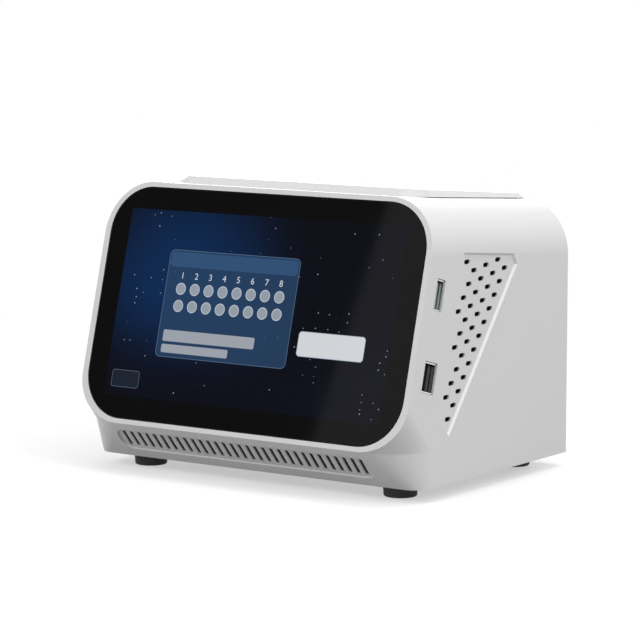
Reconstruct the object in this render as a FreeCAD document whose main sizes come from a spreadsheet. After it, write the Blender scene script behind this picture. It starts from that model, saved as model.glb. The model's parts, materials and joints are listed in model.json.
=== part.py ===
import math
import os

import FreeCAD
import Part
import Sketcher

# Bench instrument that copies and reads DNA samples: a white moulded housing with a tilted
# touch screen, a hinged heated lid over a block of sixteen wells, and the works inside.
# Frame: X to the right of the screen, Y to the back, Z up from the surface it stands on.

sizes = {
    # housing
    "bodyWidth": 183.4,
    "bodyDepth": 139.6,
    "rearProud": 1.4,
    "footHeight": 6.2,
    "chinRun": 15.0,
    "chinRise": 17.5,
    "frontTilt": 15.2,
    "frontLength": 113.9,
    "topFall": 4.33,
    "wall": 3.0,
    "topCornerRadius": 25.0,
    "chinTopRadius": 24.0,
    "chinBaseRadius": 9.0,
    "fitGap": 0.1,
    # touch screen
    "rimWidth": 3.2,
    "rimHeight": 2.4,
    "glassRadius": 22.0,
    "glassThickness": 1.5,
    "glassGap": 0.2,
    "tapeThickness": 0.3,
    "tapeWidth": 3.4,
    "screenSide": 8.5,
    "screenEdge": 8.55,
    "screenThickness": 3.6,
    "screenGap": 0.5,
    "bracketThickness": 1.0,
    "boardThickness": 1.6,
    "boardStandoff": 2.4,
    "mainBoardSide": 24.7,
    "mainBoardHeight": 78.0,
    # front vent
    "ventSide": 20.7,
    "ventEnd": 4.4,
    "ventHeight": 13.4,
    "ventRise": 5.2,
    "ventRadius": 5.5,
    "ventDepth": 0.8,
    "ventSlotLength": 10.4,
    "ventSlotWidth": 1.9,
    "ventSlots": 31,
    # side grille
    "grilleTopFrontY": 49.7,
    "grilleTopFrontZ": 108.6,
    "grilleTopRearY": 91.6,
    "grilleTopRearZ": 104.6,
    "grilleRearY": 94.6,
    "grilleRearZ": 99.4,
    "grilleTipY": 38.0,
    "grilleTipZ": 27.6,
    "grilleFrontY": 30.5,
    "grilleFrontZ": 35.8,
    "grilleDepth": 1.0,
    "grilleBevel": 45.0,
    "grilleMargin": 2.7,
    "grillePitch": 7.15,
    "grilleTurn": 36.4,
    "grilleFirstY": 53.6,
    "grilleFirstZ": 104.0,
    "grilleHoleLength": 4.7,
    "grilleHoleHeight": 2.1,
    # lid
    "lidSide": 20.9,
    "lidFrontSetback": 13.8,
    "lidRearSetback": 3.3,
    "lidRadius": 14.0,
    "lidRise": 3.4,
    "lidRearRise": 2.0,
    "lidChamfer": 5.2,
    "lidGap": 0.4,
    "lidSkirt": 7.0,
    "lidWall": 2.2,
    "lidInnerThickness": 2.0,
    "hingePinRadius": 1.2,
    "hingeKnuckleRadius": 2.6,
    "hingeDrop": 1.0,
    "hingeRearGap": 0.5,
    "hingeLugWidth": 8.0,
    "hingeLugInset": 14.8,
    "hingeSideGap": 0.3,
    "runningGap": 0.05,
    # sample bay
    "linerWall": 2.0,
    "linerFloorThickness": 2.0,
    "blockWidth": 84.0,
    "blockLength": 30.0,
    "blockHeight": 18.5,
    "blockSetback": 51.6,
    "blockDrop": 6.4,
    "blockProud": 3.5,
    "wellColumns": 8,
    "wellPitch": 9.0,
    "wellRadius": 3.3,
    "wellStraight": 5.2,
    "wellTipRadius": 1.4,
    "wellDepth": 15.0,
    "sealWidth": 1.8,
    "platePlay": 4.5,
    "plateThickness": 5.0,
    "plateTravel": 1.8,
    "guideRadius": 1.5,
    "guideHeadRadius": 2.4,
    "guideHead": 1.2,
    "guideX": 38.0,
    "guideSpread": 10.0,
    "springRadius": 2.8,
    # cooling
    "coolerThickness": 3.6,
    "coolerSize": 30.0,
    "sinkSide": 4.0,
    "sinkLength": 44.0,
    "sinkBase": 6.0,
    "sinkHeight": 30.0,
    "sinkFins": 21,
    "finThickness": 1.0,
    "fanSize": 60.0,
    "fanDepth": 20.0,
    "fanBore": 28.5,
    "fanHub": 12.0,
    "fanBlades": 7,
    "fanDrop": 4.0,
    # rear
    "rearPanelSide": 19.7,
    "rearPanelShort": 13.9,
    "rearPanelBase": 12.0,
    "rearPanelThickness": 1.5,
    "rearPanelRadius": 5.0,
    "rearLedge": 6.0,
    "inletInset": 20.0,
    "inletDrop": 22.0,
    "inletWidth": 27.4,
    "inletHeight": 19.8,
    "inletDepth": 22.0,
    "switchLift": 12.0,
    "switchWidth": 13.0,
    "switchHeight": 19.2,
    "switchDepth": 16.0,
    "rockerTilt": 9.0,
    # side ports
    "usbY": 22.0,
    "usbZ": 55.7,
    "usbLength": 13.6,
    "usbHeight": 9.4,
    "videoY": 29.7,
    "videoZ": 91.4,
    "videoLength": 13.8,
    "videoHeight": 6.2,
    "portDepth": 14.0,
    "portSetback": 0.7,
    "portGap": 0.25,
    # base
    "baseThickness": 2.0,
    "footRadius": 8.0,
    "footInset": 20.8,
    "footFrontY": 30.5,
    "footRearInset": 13.3,
    "baseVents": 12,
    "baseVentPitch": 8.0,
    "baseVentWidth": 3.0,
    "baseVentLength": 36.0,
    "screwRadius": 1.5,
    "screwHeadRadius": 2.8,
    "screwHeadHeight": 1.8,
    # optics
    "railRadius": 2.0,
    "railSpread": 9.0,
    "opticsSetback": 39.0,
    "opticsDrop": 15.5,
    "screwThread": 2.5,
    "carriageWidth": 26.0,
    "carriageDepth": 30.0,
    "carriageHeight": 16.0,
    "scanTravel": 63.0,
    "frameSide": 37.7,
    "frameSheet": 2.0,
    "frameFlange": 12.0,
    "earSheet": 1.5,
    "motorSize": 20.0,
    "motorLength": 28.0,
    "motorScrewPlace": 8.0,
    "motorScrewRadius": 1.0,
    # power supply
    "supplyLength": 66.0,
    "supplyHeight": 28.0,
    "supplySide": 6.0,
    "supplySetback": 24.0,
    "supplySheet": 1.0,
    "supplySlots": 9,
    "supplySlotWidth": 3.0,
    "supplySlotLength": 40.0,
}

# sizes that follow from those above
derived = {
    "glassWidth": "bodyWidth - 2 * rimWidth",
    "glassHeight": "frontLength - 2 * rimHeight",
    "screenWidth": "glassWidth - 2 * screenSide",
    "screenHeight": "glassHeight - 2 * screenEdge",
    "mainBoardWidth": "bodyWidth - 2 * mainBoardSide",
    "ventLength": "bodyWidth - 2 * ventSide",
    "ventPitch": "(ventLength - 2 * ventEnd) / (ventSlots - 1)",
    "lidWidth": "bodyWidth - 2 * lidSide",
    "lidLength": "(bodyDepth - lidRearSetback - lidFrontSetback - frontLength * sin(frontTilt)) / cos(topFall)",
    "hingeLugPlace": "lidWidth / 2 - hingeLugInset",
    "blockY": "bodyDepth - blockSetback",
    "blockTop": "frontLength - blockDrop",
    "linerFloor": "blockTop - blockProud",
    "opticsY": "blockY - opticsSetback",
    "opticsZ": "blockTop - opticsDrop",
    "frameSpread": "bodyWidth / 2 - frameSide",
    "sinkWidth": "2 * (frameSpread - sinkSide)",
    "supplyWidth": "2 * (frameSpread - supplySide)",
    "supplyPlace": "blockY - supplySetback",
    "rearPanelWidth": "bodyWidth - 2 * rearPanelSide",
    "rearPanelHeight": "frontLength - rearPanelShort",
    "rearPanelZ": "rearPanelBase + rearPanelHeight / 2",
    "fanZ": "rearPanelZ - fanDrop",
    "inletX": "inletInset - rearPanelWidth / 2",
    "inletZ": "rearPanelZ - inletDrop",
    "switchZ": "rearPanelZ + switchLift",
    "footX": "bodyWidth / 2 - footInset",
    "footRearY": "bodyDepth - footRearInset",
}

doc = FreeCAD.newDocument("sampleCycler")
sheet = doc.addObject("Spreadsheet::Sheet", "Sizes")
contents = [(alias, str(number)) for alias, number in sizes.items()] + [(alias, "=" + words) for alias, words in derived.items()]
for row, (alias, words) in enumerate(contents, 1):
    sheet.set(f"A{row}", alias)
    sheet.set(f"B{row}", words)
    sheet.setAlias(f"B{row}", alias)
doc.recompute()


class Size:
    """A length, angle or count: its number, and the sheet's own words for it."""

    def __init__(self, number, words):
        self.number = number
        self.words = words

    def __add__(self, other):
        return joined(self, "+", other)

    def __radd__(self, other):
        return joined(other, "+", self)

    def __sub__(self, other):
        return joined(self, "-", other)

    def __rsub__(self, other):
        return joined(other, "-", self)

    def __mul__(self, other):
        return joined(self, "*", other)

    def __rmul__(self, other):
        return joined(other, "*", self)

    def __truediv__(self, other):
        return joined(self, "/", other)

    def __rtruediv__(self, other):
        return joined(other, "/", self)

    def __neg__(self):
        return joined(-1, "*", self)


def asSize(value):
    """The value as a Size, also where it is a plain number."""
    return value if isinstance(value, Size) else Size(float(value), repr(float(value)))


def joined(left, sign, right):
    """Two sizes joined by one of the four signs of arithmetic."""
    left, right = asSize(left), asSize(right)
    results = {
        "+": left.number + right.number,
        "-": left.number - right.number,
        "*": left.number * right.number,
        "/": left.number / right.number if right.number else 0.0,
    }
    return Size(results[sign], f"({left.words} {sign} {right.words})")


def sine(angle):
    return Size(math.sin(math.radians(angle.number)), f"sin({angle.words})")


def cosine(angle):
    return Size(math.cos(math.radians(angle.number)), f"cos({angle.words})")


def tangent(angle):
    return Size(math.tan(math.radians(angle.number)), f"tan({angle.words})")


def arctangent(ratio):
    """The angle in degrees whose tangent is the ratio."""
    return Size(math.degrees(math.atan(ratio.number)), f"(atan({ratio.words}) / 1deg)")


def root(value):
    return Size(math.sqrt(value.number), f"sqrt({value.words})")


class SizeTable:
    """The sheet's sizes, each by its alias."""

    def __getattr__(self, alias):
        return Size(float(sheet.get(alias)), f"Sizes.{alias}")


s = SizeTable()


def bind(thing, path, value):
    """Ties one property of an object to the sheet."""
    value = asSize(value)
    if "Sizes." in value.words:
        thing.setExpression(path, value.words)
    elif not path.startswith("Placement"):
        setattr(thing, path, value.number)


def place(thing, at, turn=(1, 0, 0), angle=0):
    """Puts an object at a point, turned about an axis, with both tied to the sheet."""
    point = [asSize(v) for v in at]
    angle = asSize(angle)
    thing.Placement = FreeCAD.Placement(
        FreeCAD.Vector(*[v.number for v in point]),
        FreeCAD.Rotation(FreeCAD.Vector(*turn), angle.number),
    )
    for letter, value in zip("xyz", point):
        bind(thing, f"Placement.Base.{letter}", value)
    if "Sizes." in angle.words:
        thing.setExpression("Placement.Rotation.Angle", angle.words)
    return thing


axisTurns = {"x": ((0, 1, 0), 90), "y": ((1, 0, 0), -90), "z": ((0, 0, 1), 0)}


def block(name, low, high, turn=(1, 0, 0), angle=0):
    """A box between two corners. With a turn, low is where it sits and high - low its size."""
    thing = doc.addObject("Part::Box", name)
    for path, a, b in zip(("Length", "Width", "Height"), low, high):
        bind(thing, path, asSize(b) - asSize(a))
    return place(thing, low, turn, angle)


def sized(name, at, size, turn=(1, 0, 0), angle=0):
    """A box of a size, with its low corner at a point."""
    thing = doc.addObject("Part::Box", name)
    for path, value in zip(("Length", "Width", "Height"), size):
        bind(thing, path, value)
    return place(thing, at, turn, angle)


def rod(name, radius, length, at, along="z"):
    """A cylinder from a point along an axis."""
    thing = doc.addObject("Part::Cylinder", name)
    bind(thing, "Radius", radius)
    bind(thing, "Height", length)
    return place(thing, at, *axisTurns[along])


def cone(name, lowRadius, highRadius, length, at, along="z"):
    thing = doc.addObject("Part::Cone", name)
    bind(thing, "Radius1", lowRadius)
    bind(thing, "Radius2", highRadius)
    bind(thing, "Height", length)
    return place(thing, at, *axisTurns[along])


def solid(name, shape):
    """A shape that only Part's own functions make, sized from the sheet by the caller."""
    thing = doc.addObject("Part::Feature", name)
    thing.Shape = shape
    return thing


def fused(name, things):
    thing = doc.addObject("Part::MultiFuse", name)
    thing.Shapes = things
    return thing


def grouped(name, things):
    """Several separate solids as one sub-part."""
    thing = doc.addObject("Part::Compound", name)
    thing.Links = things
    return thing


def less(name, base, tools):
    """A solid with others cut away from it."""
    tool = tools[0] if len(tools) == 1 else fused(f"{name}_cuts", tools)
    thing = doc.addObject("Part::Cut", name)
    thing.Base = base
    thing.Tool = tool
    return thing


def common(name, things):
    thing = doc.addObject("Part::MultiCommon", name)
    thing.Shapes = things
    return thing


def originPlane(body, role):
    return [f for f in body.Origin.OriginFeatures if f.Role == role][0]


def newSketch(body, name, role="XY_Plane"):
    sketch = body.newObject("Sketcher::SketchObject", name)
    sketch.AttachmentSupport = (originPlane(body, role), [""])
    sketch.MapMode = "FlatFace"
    return sketch


def dimension(sketch, kind, args, value):
    """A sketch dimension tied to the sheet. A negative one is measured the other way."""
    value = asSize(value)
    if value.number < 0 and kind in ("DistanceX", "DistanceY"):
        args = args[2:] + args[:2]
        value = -value
    number = sketch.addConstraint(Sketcher.Constraint(kind, *args, value.number))
    if "Sizes." in value.words:
        sketch.setExpression(f"Constraints[{number}]", value.words)


def polygonSketch(sketch, points):
    """A closed outline whose corners are each placed from the sketch's origin."""
    corners = [FreeCAD.Vector(asSize(x).number, asSize(y).number, 0) for x, y in points]
    count = len(corners)
    for i in range(count):
        sketch.addGeometry(Part.LineSegment(corners[i], corners[(i + 1) % count]))
    for i in range(count):
        sketch.addConstraint(Sketcher.Constraint("Coincident", i, 2, (i + 1) % count, 1))
    for i, (x, y) in enumerate(points):
        dimension(sketch, "DistanceX", (-1, 1, i, 1), x)
        dimension(sketch, "DistanceY", (-1, 1, i, 1), y)


def roundedSketch(sketch, width, height, radius):
    """A rectangle with round corners, centred on the sketch's origin."""
    w, h, r = [asSize(v).number for v in (width, height, radius)]
    right, top = w / 2, h / 2
    quarter = math.pi / 2
    starts = [(-right + r, -top), (right, -top + r), (right - r, top), (-right, top - r)]
    ends = [(right - r, -top), (right, top - r), (-right + r, top), (-right, -top + r)]
    centres = [(right - r, -top + r), (right - r, top - r), (-right + r, top - r), (-right + r, -top + r)]
    for i in range(4):
        sketch.addGeometry(Part.LineSegment(FreeCAD.Vector(*starts[i], 0), FreeCAD.Vector(*ends[i], 0)))
        circle = Part.Circle(FreeCAD.Vector(*centres[i], 0), FreeCAD.Vector(0, 0, 1), r)
        sketch.addGeometry(Part.ArcOfCircle(circle, (i - 1) * quarter, i * quarter))
    for i in range(8):
        sketch.addConstraint(Sketcher.Constraint("Tangent", i, 2, (i + 1) % 8, 1))
    for i, kind in enumerate(("Horizontal", "Vertical", "Horizontal", "Vertical")):
        sketch.addConstraint(Sketcher.Constraint(kind, 2 * i))
    for i in (3, 5, 7):
        sketch.addConstraint(Sketcher.Constraint("Equal", 1, i))
    sketch.addConstraint(Sketcher.Constraint("Symmetric", 0, 1, 4, 1, -1, 1))
    dimension(sketch, "Radius", (1,), radius)
    dimension(sketch, "DistanceX", (6, 1, 2, 1), width)
    dimension(sketch, "DistanceY", (0, 1, 4, 1), height)


def plate(name, width, height, radius, thickness, at, turn=(1, 0, 0), angle=0):
    """A flat plate with round corners: its middle at a point, its thickness along its own Z."""
    body = doc.addObject("PartDesign::Body", name)
    sketch = newSketch(body, f"{name}_outline")
    roundedSketch(sketch, width, height, radius)
    pad = body.newObject("PartDesign::Pad", f"{name}_pad")
    pad.Profile = sketch
    bind(pad, "Length", thickness)
    sketch.Visibility = False
    return place(body, at, turn, angle)


# where the housing's planes meet, seen from the side
chinSlope = s.chinRun / s.chinRise
chinLength = root(s.chinRun * s.chinRun + s.chinRise * s.chinRise)
rimY = -(s.bodyDepth + s.rearProud) / 2
rimZ = s.footHeight + s.chinRise
chinY = rimY + s.chinRun
crownY = rimY + s.frontLength * sine(s.frontTilt)
crownZ = rimZ + s.frontLength * cosine(s.frontTilt)
rearY = rimY + s.bodyDepth
innerRearY = rearY - s.wall
blockY = rimY + s.blockY
opticsY = rimY + s.opticsY
supplyY = rimY + s.supplyPlace
frameFrontY = opticsY - s.carriageDepth / 2
frameRearY = blockY + s.sinkLength / 2
frameScrewX = s.frameSpread + s.frameSheet + 5
glassY = rimY + s.frontLength / 2 * sine(s.frontTilt)
glassZ = rimZ + s.frontLength / 2 * cosine(s.frontTilt)
screenTurn = 90 - s.frontTilt
chinTurn = 90 + arctangent(chinSlope)


def topZ(y):
    """Height of the housing's top face at a place along Y."""
    return crownZ - (y - crownY) * tangent(s.topFall)


def onScreen(x, up, out):
    """A point given in the screen's own directions, from the middle of the glass."""
    return (
        asSize(x),
        glassY + up * sine(s.frontTilt) - out * cosine(s.frontTilt),
        glassZ + up * cosine(s.frontTilt) + out * sine(s.frontTilt),
    )


def onChin(x, up, out):
    """A point on the sloping face below the screen, from its lower edge."""
    return (
        asSize(x),
        chinY - up * s.chinRun / chinLength - out * s.chinRise / chinLength,
        s.footHeight + up * s.chinRise / chinLength - out * s.chinRun / chinLength,
    )


lidFrontY = crownY + s.lidFrontSetback
lidTurn = -s.topFall


def onLid(x, back, up):
    """A point in the sloping top's directions, from the lid's front edge."""
    return (
        asSize(x),
        lidFrontY + back * cosine(s.topFall) + up * sine(s.topFall),
        topZ(lidFrontY) - back * sine(s.topFall) + up * cosine(s.topFall),
    )


def sideOutline(inset, drop):
    """The housing's outline from the side, set in by a wall, and open below by drop."""
    rise = inset * (chinLength / s.chinRise - 1 / cosine(s.frontTilt)) / (chinSlope + tangent(s.frontTilt))
    back = inset * (1 / sine(s.frontTilt) - 1 / cosine(s.topFall))
    back = back / (1 / tangent(s.frontTilt) + tangent(s.topFall))
    baseZ = s.footHeight - drop
    rear = rearY - inset
    return [
        (chinY + inset * chinLength / s.chinRise + drop * chinSlope, baseZ),
        (rimY + inset / cosine(s.frontTilt) + rise * tangent(s.frontTilt), rimZ + rise),
        (crownY + back, topZ(crownY + back) - inset / cosine(s.topFall)),
        (rear, topZ(rear) - inset / cosine(s.topFall)),
        (rear, baseZ),
    ]


def chinCorner(name, side, inset, drop):
    """What rounds the corner between the chin and one side: a tight turn at the base that opens
    out to the rim of the screen, and runs on across the rim."""
    margin = 6.0
    half = (s.bodyWidth / 2 - inset).number
    slope = chinSlope.number
    radii = [s.chinBaseRadius.number - inset.number, s.chinTopRadius.number - inset.number]
    growth = (radii[1] - radii[0]) / s.chinRise.number

    def section(z, radius):
        y = (chinY + inset * chinLength / s.chinRise).number - (z - s.footHeight.number) * slope
        near, far, bend = half - radius, half + margin, radius * (1 - math.sqrt(0.5))
        corner = [(near, y), (near, y - margin), (far, y - margin), (far, y + radius), (half, y + radius)]
        points = [FreeCAD.Vector(side * a, b, z) for a, b in corner]
        edges = [Part.makeLine(a, b) for a, b in zip(points, points[1:])]
        middle = FreeCAD.Vector(side * (half - bend), y + bend, z)
        edges.append(Part.Arc(points[-1], middle, points[0]).toShape())
        return Part.Wire(edges)

    low, rim = s.footHeight.number - drop - 1.0, rimZ.number
    top = rim + radii[1] + margin
    lowRadius = radii[1] - growth * (rim - low)
    lower = Part.makeLoft([section(low, lowRadius), section(rim, radii[1])], True, True)
    upper = Part.makeLoft([section(rim, radii[1]), section(top, radii[1])], True, True)
    return solid(name, lower.fuse(upper))


def housingForm(name, inset, drop):
    """The housing's whole outer form, set in by a wall thickness."""
    inset = asSize(inset)
    body = doc.addObject("PartDesign::Body", f"{name}_form")
    sketch = newSketch(body, f"{name}_profile", "YZ_Plane")
    polygonSketch(sketch, sideOutline(inset, drop))
    pad = body.newObject("PartDesign::Pad", f"{name}_pad")
    pad.Profile = sketch
    pad.SideType = "Symmetric"
    bind(pad, "Length", s.bodyWidth - inset * 2)
    doc.recompute()
    middleY = (crownY.number + rearY.number) / 2
    topEdges = [
        f"Edge{i}"
        for i, edge in enumerate(pad.Shape.Edges, 1)
        if edge.CenterOfMass.z > glassZ.number + 20
        and abs(edge.CenterOfMass.x) > 1
        and abs(edge.CenterOfMass.y - middleY) < 5
    ]
    fillet = body.newObject("PartDesign::Fillet", f"{name}_shoulders")
    fillet.Base = (pad, topEdges)
    bind(fillet, "Radius", s.topCornerRadius - inset)
    corners = [chinCorner(f"{name}_corner_{side}", side, inset, drop) for side in (-1, 1)]
    return less(name, body, corners)


def slotShape(length, width, depth):
    """A round-ended bar along X, standing on the XY plane."""
    straight = length - width
    bar = Part.makeBox(straight, width, depth, FreeCAD.Vector(-straight / 2, -width / 2, 0))
    ends = [Part.makeCylinder(width / 2, depth, FreeCAD.Vector(x, 0, 0)) for x in (-straight / 2, straight / 2)]
    return bar.fuse(ends).removeSplitter()


def insideOutline(point, outline, margin):
    """Whether a point lies inside a convex outline and clear of its edges."""
    for (ay, az), (by, bz) in zip(outline, outline[1:] + outline[:1]):
        edge = math.hypot(by - ay, bz - az)
        reach = ((by - ay) * (point[1] - az) - (bz - az) * (point[0] - ay)) / edge
        if -reach < margin:
            return False
    return True


def boredPlate(name, base, radius, places, depth, turn=(1, 0, 0), angle=0):
    """A plate with the same round hole at several places, each given where the drill starts."""
    drills = []
    for i, at in enumerate(places):
        drill = doc.addObject("Part::Cylinder", f"{name}_drill{i}")
        bind(drill, "Radius", radius)
        bind(drill, "Height", depth)
        drills.append(place(drill, at, turn, angle))
    return less(name, base, drills)


parts = {}


def keep(name, thing):
    """Names a finished sub-part. Its label names its file."""
    thing.Label = name
    parts[name] = thing
    return thing


# housing shell
outer = housingForm("housing_outer", 0, 0)
inner = housingForm("housing_inner", s.wall, 1)
glassPocket = plate(
    "glass_pocket", s.glassWidth + s.glassGap * 2, s.glassHeight + s.glassGap * 2, s.glassRadius + s.glassGap,
    s.glassThickness + s.tapeThickness + 2, onScreen(0, asSize(0), -s.glassThickness - s.tapeThickness),
    angle=screenTurn,
)
screenOpening = plate(
    "screen_opening", s.screenWidth + s.screenGap * 2, s.screenHeight + s.screenGap * 2, 2.0,
    s.wall + 4, onScreen(0, asSize(0), -s.wall - 2), angle=screenTurn,
)
ventMiddle = s.ventRise + s.ventHeight / 2
ventPocket = plate(
    "vent_pocket", s.ventLength, s.ventHeight, s.ventRadius, s.ventDepth + 2,
    onChin(0, ventMiddle, -s.ventDepth), angle=chinTurn,
)


def ventSlotTools():
    """The row of slots in the front vent, each running down the slope."""
    depth = s.wall.number + 4
    one = slotShape(s.ventSlotLength.number, s.ventSlotWidth.number, depth)
    one.rotate(FreeCAD.Vector(0, 0, 0), FreeCAD.Vector(0, 0, 1), 90)
    count = int(s.ventSlots.number)
    row = []
    for i in range(count):
        copy = one.copy()
        copy.translate(FreeCAD.Vector((i - (count - 1) / 2) * s.ventPitch.number, 0, 0))
        row.append(copy)
    tool = solid("vent_slots", Part.makeCompound(row))
    return place(tool, onChin(0, ventMiddle, -s.wall - 2), angle=chinTurn)


grilleOutline = [
    (rimY + s.grilleTopFrontY, s.grilleTopFrontZ),
    (rimY + s.grilleTopRearY, s.grilleTopRearZ),
    (rimY + s.grilleRearY, s.grilleRearZ),
    (rimY + s.grilleTipY, s.grilleTipZ),
    (rimY + s.grilleFrontY, s.grilleFrontZ),
]


def grilleRecess(side):
    """The shallow field of a side grille, with sloping edges."""
    body = doc.addObject("PartDesign::Body", f"grille_recess_{side}")
    sketch = newSketch(body, f"grille_field_{side}", "YZ_Plane")
    polygonSketch(sketch, grilleOutline)
    pad = body.newObject("PartDesign::Pad", f"grille_pad_{side}")
    pad.Profile = sketch
    pad.Reversed = side > 0
    bind(pad, "Length", s.grilleDepth + 0.02)
    bind(pad, "TaperAngle", -s.grilleBevel)
    return place(body, (side * (s.bodyWidth / 2 + 0.02), 0, 0))


def grilleHoleTools(side):
    """The holes of a side grille: a turned square lattice, kept where it lies well inside."""
    outline = [(y.number, z.number) for y, z in grilleOutline]
    turn = math.radians(s.grilleTurn.number)
    pitch = s.grillePitch.number
    along = (pitch * math.cos(turn), -pitch * math.sin(turn))
    down = (-pitch * math.sin(turn), -pitch * math.cos(turn))
    depth = s.wall.number + 4
    one = slotShape(s.grilleHoleLength.number, s.grilleHoleHeight.number, depth)
    one.rotate(FreeCAD.Vector(0, 0, 0), FreeCAD.Vector(0, 0, 1), 90)
    one.rotate(FreeCAD.Vector(0, 0, 0), FreeCAD.Vector(0, 1, 0), 90)
    start = side * s.bodyWidth.number / 2 - depth / 2
    holes = []
    reach = int(100 / pitch)
    for i in range(-reach, reach):
        for j in range(-reach, reach):
            y = (rimY + s.grilleFirstY).number + i * along[0] + j * down[0]
            z = s.grilleFirstZ.number + i * along[1] + j * down[1]
            if insideOutline((y, z), outline, s.grilleMargin.number):
                copy = one.copy()
                copy.translate(FreeCAD.Vector(start, y, z))
                holes.append(copy)
    print("grille holes", len(holes))
    return solid(f"grille_holes_{side}", Part.makeCompound(holes))


def portTool(name, y, z, length, height):
    """The opening of a side port, in line with the screen."""
    depth = s.wall + 4
    at = (s.bodyWidth / 2 - depth / 2, y - length / 2 * sine(s.frontTilt) - height / 2 * cosine(s.frontTilt),
          z - length / 2 * cosine(s.frontTilt) + height / 2 * sine(s.frontTilt))
    return sized(name, at, (depth, height, length), angle=lidTiltAngle)


lidTiltAngle = -s.frontTilt
usbY = rimY + s.usbY
videoY = rimY + s.videoY
ports = [
    portTool("usb_opening", usbY, s.usbZ, s.usbLength + s.portGap * 2, s.usbHeight + s.portGap * 2),
    portTool("video_opening", videoY, s.videoZ, s.videoLength + s.portGap * 2, s.videoHeight + s.portGap * 2),
]
apertureDepth = s.lidLength + s.lidRadius * 2
aperture = plate(
    "lid_aperture", s.lidWidth + s.lidGap * 2, apertureDepth, s.lidRadius + s.lidGap, s.wall + 12,
    onLid(0, apertureDepth / 2 - s.lidGap, -s.wall - 4), angle=lidTurn,
)
apertureLimit = block(
    "aperture_limit", (-s.bodyWidth, -s.bodyDepth, 0), (s.bodyWidth, innerRearY, 200),
)
lidOpening = common("lid_opening", [aperture, apertureLimit])
rearPocket = plate(
    "rear_pocket", s.rearPanelWidth + s.fitGap * 2, s.rearPanelHeight + s.fitGap * 2, s.rearPanelRadius,
    s.rearPanelThickness + s.fitGap + 2, (0, rearY + 2, s.rearPanelZ), angle=90,
)
rearOpening = plate(
    "rear_opening", s.rearPanelWidth - s.rearLedge * 2, s.rearPanelHeight - s.rearLedge * 2, 2.0,
    s.wall + 4, (0, rearY + 2, s.rearPanelZ), angle=90,
)
panelScrewX = s.rearPanelWidth / 2 - s.rearLedge / 2
panelScrewZ = s.rearPanelHeight / 2 - s.rearLedge / 2
corners = [(-1, -1), (1, -1), (1, 1), (-1, 1)]
panelScrewPlaces = [(i * panelScrewX, s.rearPanelZ + j * panelScrewZ) for i, j in corners]
panelPilots = [
    rod(f"panel_pilot{n}", s.screwRadius + 0.02, s.wall + 2, (x, innerRearY - 1, z), "y")
    for n, (x, z) in enumerate(panelScrewPlaces)
]
baseScrewX = s.bodyWidth / 2 - s.wall - 6
baseScrewFrontY = chinY + 13
baseScrewRearY = innerRearY - 6
baseScrewPlaces = [(i * baseScrewX, y) for i in (-1, 1) for y in (baseScrewFrontY, baseScrewRearY)]
baseTop = s.footHeight + s.baseThickness
bossRadius = 3.6
bossHeight = 12.0
bosses = []
bossBores = []
for n, (x, y) in enumerate(baseScrewPlaces):
    side = 1 if x.number > 0 else -1
    bosses.append(rod(f"base_boss{n}", bossRadius, bossHeight, (x, y, baseTop)))
    near, far = sorted((x, side * (s.bodyWidth / 2 - s.wall / 2)), key=lambda v: v.number)
    bosses.append(block(f"base_rib{n}", (near, y - 1, baseTop), (far, y + 1, baseTop + bossHeight)))
    bossBores.append(rod(f"base_bore{n}", s.screwRadius + s.runningGap, bossHeight - 3, (x, y, baseTop - 1)))
hollow = less("housing_hollow", outer, [inner])
bossed = fused("housing_bossed", [hollow] + bosses)
carved = less("housing_carved", bossed, bossBores + [glassPocket, screenOpening, ventPocket, rearPocket, rearOpening])
opened = less("housing_opened", carved, [lidOpening] + ports + panelPilots)
grilled = less("housing_grilled", opened, [grilleRecess(1), grilleRecess(-1)])
pierced = less("housing_pierced", grilled, [grilleHoleTools(1)])
pierced = less("housing_pierced_left", pierced, [grilleHoleTools(-1)])
keep("housing_shell", less("housing", pierced, [ventSlotTools()]))

# base plate, feet and their screws
basePlateFront = chinY + s.wall * chinLength / s.chinRise + s.fitGap * 2
baseSlab = block("base_slab", (-s.bodyWidth / 2, basePlateFront, s.footHeight), (s.bodyWidth / 2, rearY, baseTop))
basePlate = common("base_sheet", [housingForm("base_limit", s.wall + s.fitGap, 0), baseSlab])
frameScrewPlaces = [(i * frameScrewX, y) for i in (-1, 1) for y in (frameFrontY + 6, frameRearY - 6)]
footPlaces = [(i * s.footX, y) for i in (-1, 1) for y in (rimY + s.footFrontY, rimY + s.footRearY)]
screwHole = s.screwRadius + 0.2
baseHoles = [
    rod(f"base_hole{n}", screwHole, s.baseThickness + 2, (x, y, s.footHeight - 1))
    for n, (x, y) in enumerate(baseScrewPlaces + footPlaces + frameScrewPlaces)
]
baseVentCount = int(s.baseVents.number)
baseVents = [
    sized(f"base_vent{i}", ((i - (baseVentCount - 1) / 2) * s.baseVentPitch - s.baseVentWidth / 2, supplyY - s.baseVentLength / 2, s.footHeight - 1),
          (s.baseVentWidth, s.baseVentLength, s.baseThickness + 2))
    for i in range(baseVentCount)
]
keep("base_plate", less("base_plate_cut", basePlate, baseHoles + baseVents))


def panScrew(name, at, length):
    """A screw driven upwards: its head below the point, its shank above."""
    x, y, z = at
    head = rod(f"{name}_head", s.screwHeadRadius, s.screwHeadHeight, (x, y, z - s.screwHeadHeight))
    shank = rod(f"{name}_shank", s.screwRadius, length, (x, y, z))
    return fused(name, [head, shank])


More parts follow.
